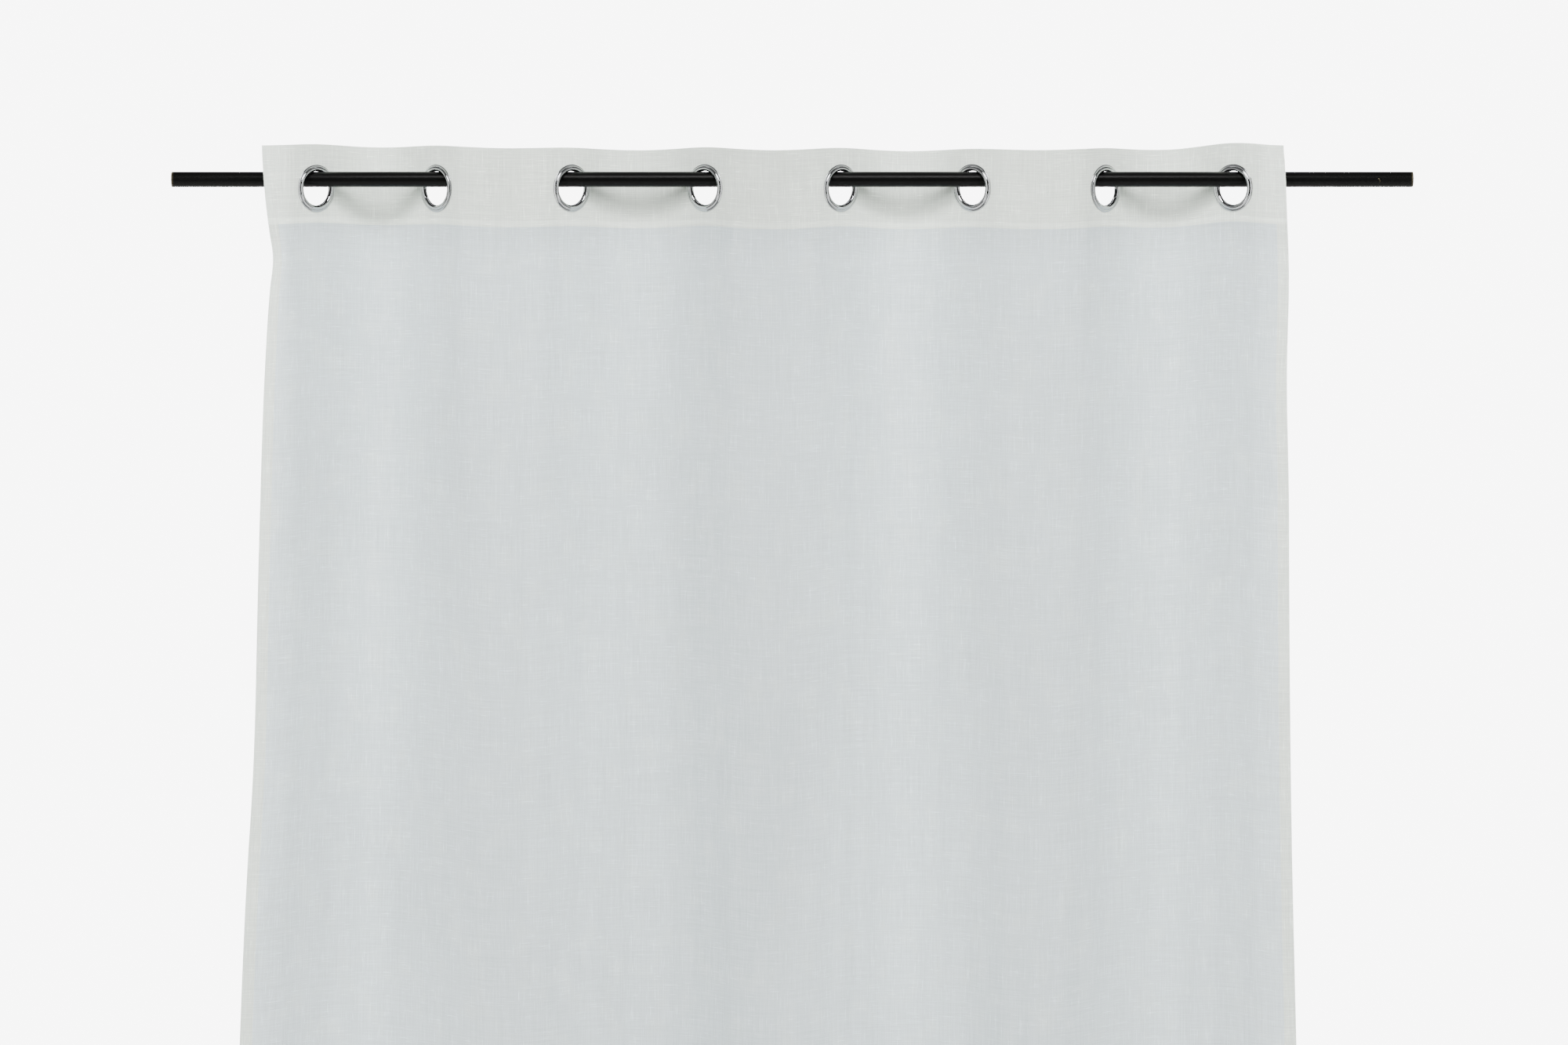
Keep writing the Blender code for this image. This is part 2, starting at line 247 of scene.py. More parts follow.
class EyeletSettings(bpy.types.PropertyGroup):
    """The two halves of an eyelet."""

    throat: length("Throat Radius", 0.0199, "Inner radius")
    outer: length("Outer Radius", 0.02775, "Radius of the flange")
    seat: length("Seat", 0.001025, "From the heading's middle to the underside of the flange")
    rise: length("Rise", 0.0018, "Height of the rim above its seat")
    wall: length("Wall", 0.0008, "Thickness of the barrel")
    reach: length("Barrel Reach", 0.0003, "How far the barrel passes the far seat")
    segments: bpy.props.IntProperty(name="Segments", default=120, description="Steps round the rim", min=24)
    tint: colour("Chrome", (0.55, 0.56, 0.57), "Colour of the plating")
    settle: length("Settle", 0.0002, "How far the eyelets sink onto the rod")


class RodSettings(bpy.types.PropertyGroup):
    """The rod."""

    wall: length("Wall", 0.0010, "Thickness of the tube")
    chamfer: length("Edge", 0.00025, "Rounding of the cut ends")
    segments: bpy.props.IntProperty(name="Segments", default=96, description="Steps round the rod", min=24)
    tint: colour("Coating", (0.0016, 0.0016, 0.0015), "Colour of the powder coat")
    bare: colour("Bare Metal", (0.10, 0.085, 0.05), "Colour where the coat is chipped")


class StudioSettings(bpy.types.PropertyGroup):
    """The floor, the lights and the camera."""

    distance: length("Camera Distance", 5.0, "From the camera to the rod")
    across: length("Camera Offset", -0.0097, "Camera's place along the rod")
    field: length("Field Width", 1.84, "Width of the view at the rod")
    below: length("Aim Below Rod", 0.404, "How far below the rod the camera aims")
    floor: colour("Floor", (0.80, 0.80, 0.79), "Colour of the floor")
    floor_radius: length("Floor Radius", 5.5, "Size of the round floor")
    backdrop: bpy.props.FloatProperty(name="Backdrop", default=8.0, description="Brightness of the backdrop")
    ambient: bpy.props.FloatProperty(name="Ambient", default=0.9, description="Brightness of the room")


SETTINGS = {
    "curtain_cloth": ClothSettings,
    "curtain_tape": TapeSettings,
    "curtain_stitches": StitchSettings,
    "curtain_eyelets": EyeletSettings,
    "curtain_rod": RodSettings,
    "curtain_studio": StudioSettings,
}


# How the cloth hangs, in metres

# The top edge over the model's: up at each eyelet, down between them, and at the two corners
TOP_RISE = (0.0041, 0.0024, -0.0003, -0.0001, -0.0005, -0.0020, -0.0004, 0.0048)
TOP_DIP = (0.0026, 0.0021, 0.0031, 0.0034, 0.0031, 0.0022, 0.0046)
CORNER_RISE = (-0.0016, -0.0030)

# (distance below the top fold, outward move) of the side edges; a curl moves only the last of the cloth
LEFT_CURL = ((0, -0.0018), (0.03, -0.003), (0.06, -0.005), (0.10, -0.0095), (0.13, -0.0135))
LEFT_CURL += ((0.17, -0.0098), (0.26, -0.0048), (0.4, -0.0025))
RIGHT_CURL = ((0, -0.0084), (0.02, -0.0068), (0.08, -0.0036), (0.14, -0.001), (0.27, -0.0025), (0.43, 0.0))
LEFT_SPREAD = ((0.09, 0.0), (0.3, 0.003), (0.5, 0.010), (0.76, 0.020), (0.85, 0.0265))
LEFT_SPREAD += ((1.15, 0.042), (2.4, 0.060))
RIGHT_SPREAD = ((0.09, 0.0), (0.4, 0.002), (0.8, 0.009), (1.15, 0.020), (2.4, 0.038))
CURL_REACH = 0.045

# (distance below the top fold, share of the wave's depth that is lost)
FLATTENING = ((0.09, 0.0), (0.5, 0.07), (1.1, 0.14), (2.4, 0.17))
# The wave has its free shape from FREE_BELOW down, and the ripples are full LOOSE_OVER below the heading
FREE_BELOW = 0.62
LOOSE_OVER = 0.30

RIPPLES = 9
RIPPLE_HEIGHT = 0.0011
RIPPLE_LENGTH = 0.028
RIPPLE_GROWTH = 1.34
RIPPLE_LEAN = 9
RIPPLE_SWELL = 2.3

# (wavelength, phase, share) of the puckers along the heading's seam
PUCKERS = ((0.0117, 0, 1.0), (0.0173, 1, 0.8))
PUCKER_HEIGHT = 0.00022
PUCKER_BELOW = 0.004
PUCKER_REACH = 0.016
FLANGE_EASE = 0.022

# (distance below the top fold, share of the height) of the soft arches under the rod in the end bays
SAGS = ((0.066, 1.0), (0.078, -0.7))
SAG_HEIGHT = 0.0006
SAG_BEND = 9
SAG_THICKNESS = 0.0055
SAG_WIDTH = 0.026

# The plies: the step from one to the next, the heading's outer ply, and the body's distance behind it
LAYER_STEP = 0.00023
FRONT_PLY = 0.000575
BODY_SETBACK = 0.00035

# Points along a line of the cloth, halvings in a search, and the half width that a direction is read over
LINE_POINTS = 160
WAVE_POINTS = 120
HALVINGS = 40
READ_OVER = 0.0008


class Drape:
    """Where the cloth lies: the place of any point of the cut."""

    def __init__(self, cloth):
        self.cloth = cloth
        self.ring_u = [cloth.margin + cloth.pitch * number for number in range(EYELETS)]
        self.width = self.ring_u[-1] + cloth.margin
        self.borders = [0, *self.ring_u, self.width]
        heading, hanging, places = [], [], []
        for part, (start, end) in enumerate(zip(self.borders, self.borders[1:])):
            line = self.heading_line(part)
            heading.append(spaced(line, LINE_POINTS)[:-1])
            hanging.append(spaced(self.hanging_line(part, line_length(line)), LINE_POINTS)[:-1])
            places.append(np.linspace(start, end, LINE_POINTS)[:-1])
        heading.append(line[-1:])
        hanging.append(line[-1:])
        places.append([self.width])
        self.places = np.concatenate(places)
        self.heading = np.concatenate(heading)
        self.hanging = np.concatenate(hanging)
        self.top_knots = self.top_line()
        self.ripples = self.make_ripples()

    def side_line(self, ring, sense, node):
        """The heading's line from the end eyelet to the side edge."""
        low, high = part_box(node)
        edge = low.x if sense < 0 else high.x
        depth = low.y + HALF_HEADING
        hem = np.array((edge - sense * self.cloth.side_hem, depth))
        line = sweep(ring, sense, self.cloth.flat_width, hem)
        return np.concatenate([line, [(edge, depth)]])

    def heading_line(self, part):
        """The line of one part of the heading: a side margin or the bay between two eyelets."""
        if part == 0:
            return self.side_line(RINGS[0], -1, "curtain_cloth_1")[::-1]
        if part == EYELETS:
            return self.side_line(RINGS[-1], 1, f"curtain_cloth_{EYELETS}")
        fold = fold_point(part - 1)
        out = sweep(RINGS[part - 1], 1, self.cloth.flat_width, fold)
        back = sweep(RINGS[part], -1, self.cloth.flat_width, fold)
        return np.concatenate([out, back[::-1][1:]])

    def hanging_line(self, part, cut):
        """The rounder line of the same part lower down, where nothing stiffens the cloth."""
        if part in (0, EYELETS):
            return self.heading_line(part)
        start, end = RINGS[part - 1].flat, RINGS[part].flat
        side = math.copysign(1, fold_point(part - 1)[1])
        share = np.linspace(0, 1, WAVE_POINTS)

        def wave(depth):
            across = start[0] + (end[0] - start[0]) * share
            return np.stack([across, side * depth * np.sin(np.pi * share)], axis=1)

        low, high = 0.0, self.cloth.pitch
        for _ in range(HALVINGS):
            middle = (low + high) / 2
            low, high = (middle, high) if line_length(wave(middle)) < cut else (low, middle)
        return wave(low)

    def top_line(self):
        """(u, height) knots of the top edge: up at the eyelets and lower between them."""
        top = [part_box(f"curtain_cloth_{number + 1}")[1].z + TOP_RISE[number] for number in range(EYELETS)]
        knots = [(0, top[0] + CORNER_RISE[0])]
        for number, place in enumerate(self.ring_u):
            knots.append((place, top[number]))
            if number < EYELETS - 1:
                between = (top[number] + top[number + 1]) / 2 - TOP_DIP[number]
                knots.append((place + self.cloth.pitch / 2, between))
        knots.append((self.width, top[-1] + CORNER_RISE[1]))
        return knots

    def make_ripples(self):
        """Soft upright ripples: (height, wavelength, phase, lean) of each."""
        chance = random.Random(11)
        made = []
        for number in range(RIPPLES):
            wavelength = RIPPLE_LENGTH * RIPPLE_GROWTH**number
            height = RIPPLE_HEIGHT * (0.35 + 0.11 * number)
            made.append((height, wavelength, chance.uniform(0, 6.28), chance.uniform(-0.35, 0.35)))
        return made

    def away_from_rings(self, u):
        """0 on the flat cloth at an eyelet and 1 between."""
        nearest = np.min([np.abs(u - place) for place in self.ring_u], axis=0)
        return smoothstep(self.cloth.flat_width, self.cloth.flat_width + FLANGE_EASE, nearest)

    def top(self, u):
        """The height of the top fold."""
        return smooth_curve(self.top_knots, u)

    def depth_changes(self, u, down):
        """How far the cloth stands off its smooth wave, towards the room."""
        heading = self.cloth.heading
        loose = smoothstep(heading, heading + LOOSE_OVER, down)
        out = np.zeros(np.broadcast(u, down).shape)
        for height, wavelength, phase, lean in self.ripples:
            swell = 0.6 + 0.4 * np.sin(down * RIPPLE_SWELL + phase * 3)
            turn = 2 * np.pi * u / wavelength + phase + lean * RIPPLE_LEAN * down
            out = out + height * swell * np.sin(turn)
        out = out * loose
        pucker = sum(np.sin(2 * np.pi * u / wavelength + phase) * size for wavelength, phase, size in PUCKERS)
        at_seam = bump(down, heading + PUCKER_BELOW, PUCKER_REACH)
        out = out + PUCKER_HEIGHT * pucker * at_seam * self.away_from_rings(u)
        for place in (self.ring_u[0], self.ring_u[-2]):
            middle = place + self.cloth.pitch / 2
            for under, strength in SAGS:
                arch = bump(down, under + SAG_BEND * (u - middle) ** 2, SAG_THICKNESS)
                out = out + SAG_HEIGHT * strength * arch * bump(u, middle, SAG_WIDTH)
        return out

    def edge_moves(self, u, down):
        """How far the cloth moves along the rod from its smooth wave, most at the side edges."""
        third = self.ring_u[2]
        spread = smooth_curve(LEFT_SPREAD, down) * (1 - np.clip(u / third, 0, 1)) ** 2
        spread = spread + smooth_curve(LEFT_CURL, down) * (1 - smoothstep(0, CURL_REACH, u))
        right = self.width - u
        other = smooth_curve(RIGHT_SPREAD, down) * (1 - np.clip(right / third, 0, 1)) ** 2
        other = other + smooth_curve(RIGHT_CURL, down) * (1 - smoothstep(0, CURL_REACH, right))
        return other - spread

    def middle(self, u, down):
        """The cloth's middle surface: x, y and z for cut distances across and down."""
        inside = np.clip(u, 0, self.width)
        beyond = u - inside
        fall = smoothstep(self.cloth.heading, FREE_BELOW, down)
        x, y = (
            np.interp(inside, self.places, self.heading[:, axis]) * (1 - fall)
            + np.interp(inside, self.places, self.hanging[:, axis]) * fall
            for axis in range(2)
        )
        y = y * (1 - smooth_curve(FLATTENING, down)) - self.depth_changes(inside, down)
        x = x + beyond + self.edge_moves(inside, down)
        return np.stack([x, y, self.top(inside) - down], axis=-1)

    def place(self, u, down, ply):
        """The place of a point of the cloth that lies ply in front of the middle surface."""
        u, down, ply = np.broadcast_arrays(u, down, ply)
        along = self.middle(u + READ_OVER, down) - self.middle(u - READ_OVER, down)
        front = unit(np.stack([along[..., 1], -along[..., 0], np.zeros(u.shape)], axis=-1))
        return self.middle(u, down) + front * ply[..., None]


def fold_arc(t, down, start, end, sense, steps):
    """Rows round a fold: (t, down, ply) from one ply to the next, bulging down or up by sense."""
    radius = abs(end - start) / 2
    rows = []
    for step in range(1, steps):
        angle = math.pi * step / steps
        ply = (start + end) / 2 + (start - end) / 2 * math.cos(angle)
        rows.append((t + math.pi * radius * step / steps, down + sense * radius * math.sin(angle), ply))
    return rows


def run_of_rows(t, first, last, ply, height):
    """Level rows from one distance below the top to another."""
    count = max(2, round(abs(last - first) / height) + 1)
    return [(t + abs(down - first), down, ply) for down in np.linspace(first, last, count)]


class Cut:
    """The rows of the cut cloth from its turned-in heading edge to its turned-up bottom hem.

    Each row is (t, down, ply, side): the cut distance, the distance below the top fold, how far
    it lies in front of the middle surface and whether the cloth's face is to the room.
    """

    FOLD_EASE = 0.0006
    SEAM_EASE = 0.0015
    FINE_BELOW = 0.06
    HEM_FOLD_RISE = 0.0002
    HEM_FOLD_LENGTH = 0.001
    TURN_EASE = 0.0003
    HEM_TURN = 0.010

    def __init__(self, cloth):
        heading, drop = cloth.heading, cloth.drop
        turned_in = -FRONT_PLY + 2 * LAYER_STEP
        body = FRONT_PLY - BODY_SETBACK
        fine = cloth.fine_row
        rows = []

        def add(more, side):
            rows.extend((*row, side) for row in more)

        start = -2 * heading
        add(run_of_rows(start, heading - cloth.allowance, heading, turned_in, fine), 1)
        add(fold_arc(rows[-1][0], heading, turned_in, -FRONT_PLY, 1, 4), -1)
        add(run_of_rows(-heading, heading, FRONT_PLY, -FRONT_PLY, fine), -1)
        add(fold_arc(-FRONT_PLY, FRONT_PLY, -FRONT_PLY, FRONT_PLY, -1, 7), 1)
        add(run_of_rows(FRONT_PLY, FRONT_PLY, heading - self.FOLD_EASE, FRONT_PLY, fine), 1)
        below = heading + self.SEAM_EASE
        add(run_of_rows(below, below, heading + self.FINE_BELOW, body, fine), 1)
        coarse = heading + self.FINE_BELOW + cloth.row
        add(run_of_rows(coarse, coarse, drop - self.FOLD_EASE, body, cloth.row), 1)
        behind = body - 2 * LAYER_STEP
        inside = drop - cloth.bottom_hem
        add(fold_arc(drop, drop - self.HEM_FOLD_RISE, body, behind, 1, 6), 1)
        rise = run_of_rows(drop + self.HEM_FOLD_LENGTH, drop - self.FOLD_EASE, inside, behind, cloth.row)
        add(rise, -1)
        add(fold_arc(rows[-1][0], inside, behind, behind + LAYER_STEP, -1, 4), 1)
        turned = rows[-1][0] + self.TURN_EASE
        add(run_of_rows(turned, inside, inside + self.HEM_TURN, behind + LAYER_STEP, fine), 1)
        self.rows = np.array(rows)
        self.length = rows[-1][0] - rows[0][0] - heading + cloth.allowance


# Mesh building


def finish_object(name, mesh, material):
    """Put a finished mesh into the scene as a piece that takes its finish from a slot."""
    mesh.name = name
    mesh.materials.clear()
    mesh.materials.append(material)
    made = bpy.data.objects.new(name, mesh)
    bpy.context.scene.collection.objects.link(made)
    return made


def sheet_mesh(name, points, uvs, normals, kept):
    """A sheet from a grid of points, with cut distances as its UVs and its own normals."""
    rows, columns = points.shape[:2]
    number = np.arange(rows * columns).reshape(rows, columns)
    corners = (number[:-1, :-1], number[1:, :-1], number[1:, 1:], number[:-1, 1:])
    faces = np.stack([corner[kept] for corner in corners], axis=-1)
    used, faces = np.unique(faces, return_inverse=True)
    faces = faces.reshape(-1, 4)
    mesh = bpy.data.meshes.new(name)
    mesh.from_pydata(points.reshape(-1, 3)[used], [], faces.tolist())
    layer = mesh.uv_layers.new(name=CUT_UV)
    loops = np.empty(len(mesh.loops), np.int32)
    mesh.loops.foreach_get("vertex_index", loops)
    layer.data.foreach_set("uv", uvs.reshape(-1, 2)[used][loops].astype(np.float32).ravel())
    mesh.shade_smooth()
    mesh.normals_split_custom_set_from_vertices(normals.reshape(-1, 3)[used].tolist())
    return mesh


def turned_mesh(name, profile, segments, place):
    """Turn a closed (radius, height) profile into a smooth ring."""
    profile = np.array(profile)
    angles = 2 * np.pi * np.arange(segments) / segments
    points = [place(radius, angles, height) for radius, height in profile]
    points = np.stack(points, axis=1).reshape(-1, 3)
    count = len(profile)
    here = np.arange(segments)[:, None] * count + np.arange(count)[None]
    across = np.roll(here, -1, axis=1)
    faces = np.stack([here, across, np.roll(across, -1, axis=0), np.roll(here, -1, axis=0)], axis=-1)
    mesh = bpy.data.meshes.new(name)
    mesh.from_pydata(points.tolist(), [], faces.reshape(-1, 4).tolist())
    mesh.shade_smooth()
    mesh.set_sharp_from_angle(angle=math.radians(50))
    return mesh


def part_name(part):
    """The name of one part of the cloth: a side margin or the bay between two pleats."""
    if part == 0:
        return "left_margin"
    return "right_margin" if part == EYELETS else f"bay_{part}_{part + 1}"


def hang_on_frame(piece, part, nodes):
    """Attach a side piece to its end pleat, bake a bay's place into its mesh, and hide the CAD nodes that the
    piece stands for.
    """
    if part in (0, EYELETS):
        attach(piece, f"pleat_{max(part, 1)}")
    else:
        low, high = (Vector(RINGS[number].centre) for number in (part - 1, part))
        flat = bpy.context.scene.curtain_cloth.flat_width
        low.x += flat * abs(RINGS[part - 1].along[0])
        high.x -= flat * abs(RINGS[part].along[0])
        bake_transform(piece)
    if nodes:
        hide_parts(*nodes)


# Materials

WHITE = (1, 1, 1, 1)


class Wire:
    """A node's output, with arithmetic that adds Math nodes."""

    def __init__(self, graph, socket):
        self.graph = graph
        self.socket = socket

    def _math(self, operation, *values):
        return self.graph.math(operation, *values)

    def __add__(self, other):
        return self._math("ADD", self, other)

    def __sub__(self, other):
        return self._math("SUBTRACT", self, other)

    def __mul__(self, other):
        return self._math("MULTIPLY", self, other)

    def __radd__(self, other):
        return self._math("ADD", other, self)

    def __rsub__(self, other):
        return self._math("SUBTRACT", other, self)

    def __rmul__(self, other):
        return self._math("MULTIPLY", other, self)

    def __abs__(self):
        return self._math("ABSOLUTE", self)

    def __gt__(self, other):
        return self._math("GREATER_THAN", self, other)

    def __lt__(self, other):
        return self._math("LESS_THAN", self, other)


class Graph:
    """A node tree that is built by calls."""

    STEP = 190

    def __init__(self, tree):
        self.tree = tree
        self.tree.nodes.clear()

    def node(self, kind, settings=None, values=None):
        """Add a node: its settings first, then the values or wires of its sockets."""
        made = self.tree.nodes.new(kind)
        made.location.x = self.STEP * len(self.tree.nodes)
        for name, value in (settings or {}).items():
            if name == "stops":
                self.set_stops(made, value)
            else:
                setattr(made, name, value)
        for key, value in (values or {}).items():
            socket = self.socket(made, key)
            if isinstance(value, Wire):
                self.tree.links.new(value.socket, socket)
            else:
                socket.default_value = value
        return made

    @staticmethod
    def socket(made, key):
        """An input by its number, its identifier or its name."""
        if isinstance(key, int):
            return made.inputs[key]
        by_identifier = [socket for socket in made.inputs if socket.identifier == key]
        return by_identifier[0] if by_identifier else made.inputs[key]

    @staticmethod
    def set_stops(made, stops):
        """Set a colour ramp's (position, grey) stops."""
        made.color_ramp.interpolation = "EASE"
        elements = made.color_ramp.elements
        while len(elements) < len(stops):
            elements.new(0.5)
        for element, (position, grey) in zip(elements, stops):
            element.position = position
            element.color = (grey, grey, grey, 1)

    def out(self, kind, settings=None, values=None, output=0):
        """Add a node and give one of its outputs."""
        return Wire(self, self.node(kind, settings, values).outputs[output])

    def math(self, operation, *values):
        """A Math node on two or three values."""
        return self.out("ShaderNodeMath", {"operation": operation}, dict(enumerate(values)))

    def ramp(self, value, *stops):
        """A grey ramp read at a value."""
        return self.out("ShaderNodeValToRGB", {"stops": stops}, {"Fac": value})

    def vector(self, x, y, z=0.0):
        """A vector from three numbers."""
        return self.out("ShaderNodeCombineXYZ", {}, {"X": x, "Y": y, "Z": z})

    def noise(self, vector, scale=1.0, detail=2.0, roughness=0.5):
        """Noise at a vector."""
        values = {"Vector": vector, "Scale": scale, "Detail": detail, "Roughness": roughness}
        return self.out("ShaderNodeTexNoise", {}, values)

    def mix(self, factor, low, high, blend="MIX"):
        """A mix of two colours."""
        values = {"Factor_Float": factor, "A_Color": low, "B_Color": high}
        return self.out("ShaderNodeMix", {"data_type": "RGBA", "blend_type": blend}, values, 2)

    def tone(self, colour_in, factor):
        """A colour made lighter or darker by a factor."""
        grey = self.out("ShaderNodeCombineColor", {}, {"Red": factor, "Green": factor, "Blue": factor})
        return self.mix(1.0, colour_in, grey, "MULTIPLY")

    def bump(self, height, strength, distance):
        """A normal bent by a height."""
        values = {"Height": height, "Strength": strength, "Distance": distance}
        return self.out("ShaderNodeBump", {}, values)

    def parts(self, vector):
        """The x, y and z of a vector."""
        split = self.node("ShaderNodeSeparateXYZ", {}, {"Vector": vector})
        return [Wire(self, socket) for socket in split.outputs]

    def object_place(self):
        """The place on the piece, in metres."""
        return Wire(self, self.node("ShaderNodeTexCoord").outputs["Object"])

    def principled(self, values):
        """A Principled shader."""
        return self.out("ShaderNodeBsdfPrincipled", {}, values)

    def opened(self, openings, shader):
        """A shader that is clear where openings is 1."""
        clear = self.out("ShaderNodeBsdfTransparent", {}, {"Color": WHITE})
        return self.out("ShaderNodeMixShader", {}, {0: openings, 1: shader, 2: clear})

    def surface(self, shader):
        """Make a shader the material's surface."""
        self.node("ShaderNodeOutputMaterial", {}, {"Surface": shader})


def new_material(name):
    """An empty material and its graph."""
    material = bpy.data.materials.new(name)
    material.use_nodes = True
    return material, Graph(material.node_tree)


def rgba(tint):
    """A colour socket's value."""
    return (*tint, 1.0)


def cut_distances(graph):
    """The cut distances across and down, from the sheet's own UVs."""
    return graph.parts(graph.out("ShaderNodeUVMap", {"uv_map": CUT_UV}))[:2]


def plain_weave(graph, across, down, pitch):
    """(height, gap) of a plain weave: threads over and under, and the openings between them."""
    warp = abs(graph.math("SINE", across * (math.pi / pitch)))
    weft = abs(graph.math("SINE", down * (math.pi / pitch)))
    cell = graph.math("FLOOR", across * (1 / pitch)) + graph.math("FLOOR", down * (1 / pitch))
    over = graph.math("PINGPONG", cell, 1.0)
    warp_height = warp * (0.55 + over * weft * 0.45)
    weft_height = weft * (0.55 + (1 - over) * warp * 0.45)
    return graph.math("MAXIMUM", warp_height, weft_height), (1 - warp) * (1 - weft)


def slubs(graph, across, down, width, reach, thick, shift):
    """Thick places in the threads, as streaks that run down: 0 to 1."""
    low, high = thick
    vector = graph.vector(across * (1 / width), down * (1 / reach), shift)
    return graph.ramp(graph.noise(vector, 1.0, 1.5, 0.6), (low, 0), (high, 1))


# (share of the width, brightness) of soft upright bands across the cloth: painted shade of the wave's folds,
# darkest over the crests that bulge towards the room
PAINTED_FOLD_BANDS = ((0.0, 1.0), (0.083, 1.0), (0.149, 0.985), (0.244, 0.815), (0.308, 1.0), (0.376, 0.875))
PAINTED_FOLD_BANDS += ((0.5, 0.75), (0.567, 0.97), (0.663, 0.965), (0.756, 0.815), (0.84, 0.97), (0.9, 0.97))
PAINTED_FOLD_BANDS += ((1.0, 0.98),)
# A painted shadow below the heading's seam: its darkest brightness, how far down it fades out, and the half
# width of its top edge
PAINTED_SEAM_SHADOW = 0.88
SEAM_FADE = 0.04
SEAM_EDGE = 0.0005


def linen_material(cloth):
    """Semi-sheer slubbed linen. It is denser and warmer where hems and the heading double it. Its colour
    holds painted shade: upright bands over the folds, a shadow below the seam and the weave's hollows.
    """
    material, graph = new_material("linen_cloth")
    across, down = cut_distances(graph)
    width = 2 * cloth.margin + cloth.pitch * (EYELETS - 1)
    height, gap = plain_weave(graph, across, down, cloth.thread_pitch)

    wander = (graph.noise(graph.vector(across * 9, down * 9), 1.0, 1.0) - 0.5) * 0.004
    by_warp, by_weft = (across + wander, down), (down + wander, across)
    light_down = slubs(graph, *by_warp, width=0.00105, reach=0.030, thick=(0.60, 0.72), shift=0.0)
    light_across = slubs(graph, *by_weft, width=0.00105, reach=0.024, thick=(0.61, 0.72), shift=4.0)
    dark_down = slubs(graph, *by_warp, width=0.0013, reach=0.040, thick=(0.62, 0.78), shift=9.0)
    dark_across = slubs(graph, *by_weft, width=0.0012, reach=0.020, thick=(0.64, 0.78), shift=14.0)
    yarn = graph.noise(graph.vector(across * 700, down * 14, 2.0), 1.0, 1.0)
    pick = graph.noise(graph.vector(across * 14, down * 700, 5.0), 1.0, 1.0)
    cloud = graph.noise(graph.vector(across * 6.5, down * 2.6, 8.0), 1.0, 3.0, 0.6)

    slub = light_down + light_across
    shade = 1 + slub * 0.36 - (dark_down + dark_across) * 0.12
    shade = shade + (yarn + pick - 1) * 0.35 + (cloud - 0.5) * 0.30
    # Lighter on the threads' crowns and darker where they dip under each other: painted shade in the weave's
    # hollows
    shade = shade * (0.95 + height * 0.07)

    in_heading = down < cloth.heading
    in_seam = (abs(down) < cloth.heading) * (abs(down) > cloth.heading - cloth.allowance)
    in_side = (across < cloth.side_hem) + (across > width - cloth.side_hem)
    in_bottom = down > cloth.drop - cloth.bottom_hem
    plies = graph.math("MINIMUM", in_heading + in_side + in_bottom, 1.0)
    tinge = (graph.noise(graph.vector(across * 34, down * 26, 17.0), 1.0, 2.0) - 0.5) * 0.9
    tint = graph.mix(graph.math("MAXIMUM", plies, tinge), rgba(cloth.single), rgba(cloth.doubled))
    # Painted shade of the folds, in upright bands across the width
    painted_fold_shade = graph.ramp(across * (1 / width), *PAINTED_FOLD_BANDS)
    seam_top, seam_low = cloth.heading - SEAM_EDGE, cloth.heading + SEAM_EDGE
    # Painted shadow just below the heading's seam, fading out further down
    painted_seam_shadow = graph.ramp(down, (seam_top, 1), (seam_low, PAINTED_SEAM_SHADOW), (cloth.heading + SEAM_FADE, 1))
    tint = graph.tone(tint, (shade + in_seam * 0.13) * painted_fold_shade * painted_seam_shadow)

    fuzz = graph.noise(graph.vector(across * 2600, down * 2600), 1.0, 2.0)
    relief = height + slub * 0.8 + fuzz * 0.25
    values = {
        "Base Color": tint,
        "Roughness": 0.86 + height * 0.08 - slub * 0.05,
        "Specular IOR Level": 0.25,
        "Sheen Weight": 0.12,
        "Sheen Roughness": 0.5,
        "Normal": graph.bump(relief, 0.35, 0.00012),
    }
    threads = graph.principled(values)
    passed = graph.out("ShaderNodeBsdfTranslucent", {}, {"Color": rgba(cloth.single)})
    solid = graph.out("ShaderNodeMixShader", {}, {0: cloth.glow, 1: threads, 2: passed})
    graph.surface(graph.opened(gap * cloth.openness * (1.15 - slub * 0.4), solid))
    return material


def tape_material(tape):
    """Stiff open-woven heading tape with a hard finish."""
    material, graph = new_material("buckram_tape")
    across, down = cut_distances(graph)
    height, gap = plain_weave(graph, across, down, tape.mesh_pitch)
    yarn = graph.noise(graph.vector(across * 500, down * 20), 1.0, 1.0)
    glaze = graph.noise(graph.vector(across * 60, down * 60, 3.0), 1.0, 2.0)
    # The base colour is darker where the yarns dip under each other: painted shade in the weave's hollows
    values = {
        "Base Color": graph.tone(rgba(tape.tint), 0.9 + height * 0.1 + (yarn - 0.5) * 0.15),
        "Roughness": 0.55 + glaze * 0.35,
        "Normal": graph.bump(height, 0.6, 0.0002),
    }
    holes = graph.ramp(gap, (0.25, 0), (0.35, 1)) * 0.8
    graph.surface(graph.opened(holes, graph.principled(values)))
    return material


def thread_material(stitches):
    """Spun sewing thread with its twist."""
    material, graph = new_material("sewing_thread")
    place = graph.object_place()
    x, y, z = graph.parts(place)
    twist = graph.math("SINE", (x + z + y * 0.7) * (2 * math.pi / 0.00035))
    fibre = graph.noise(place, 3000.0, 2.0)
    # The base colour is lighter on the twist's ridges and darker in its grooves: painted shade
    values = {
        "Base Color": graph.tone(rgba(stitches.tint), 0.93 + twist * 0.05 + (fibre - 0.5) * 0.12),
        "Roughness": 0.62 + fibre * 0.2,
        "Sheen Weight": 0.2,
        "Normal": graph.bump(twist + fibre * 0.5, 0.5, 0.00004),
    }
    graph.surface(graph.principled(values))
    return material


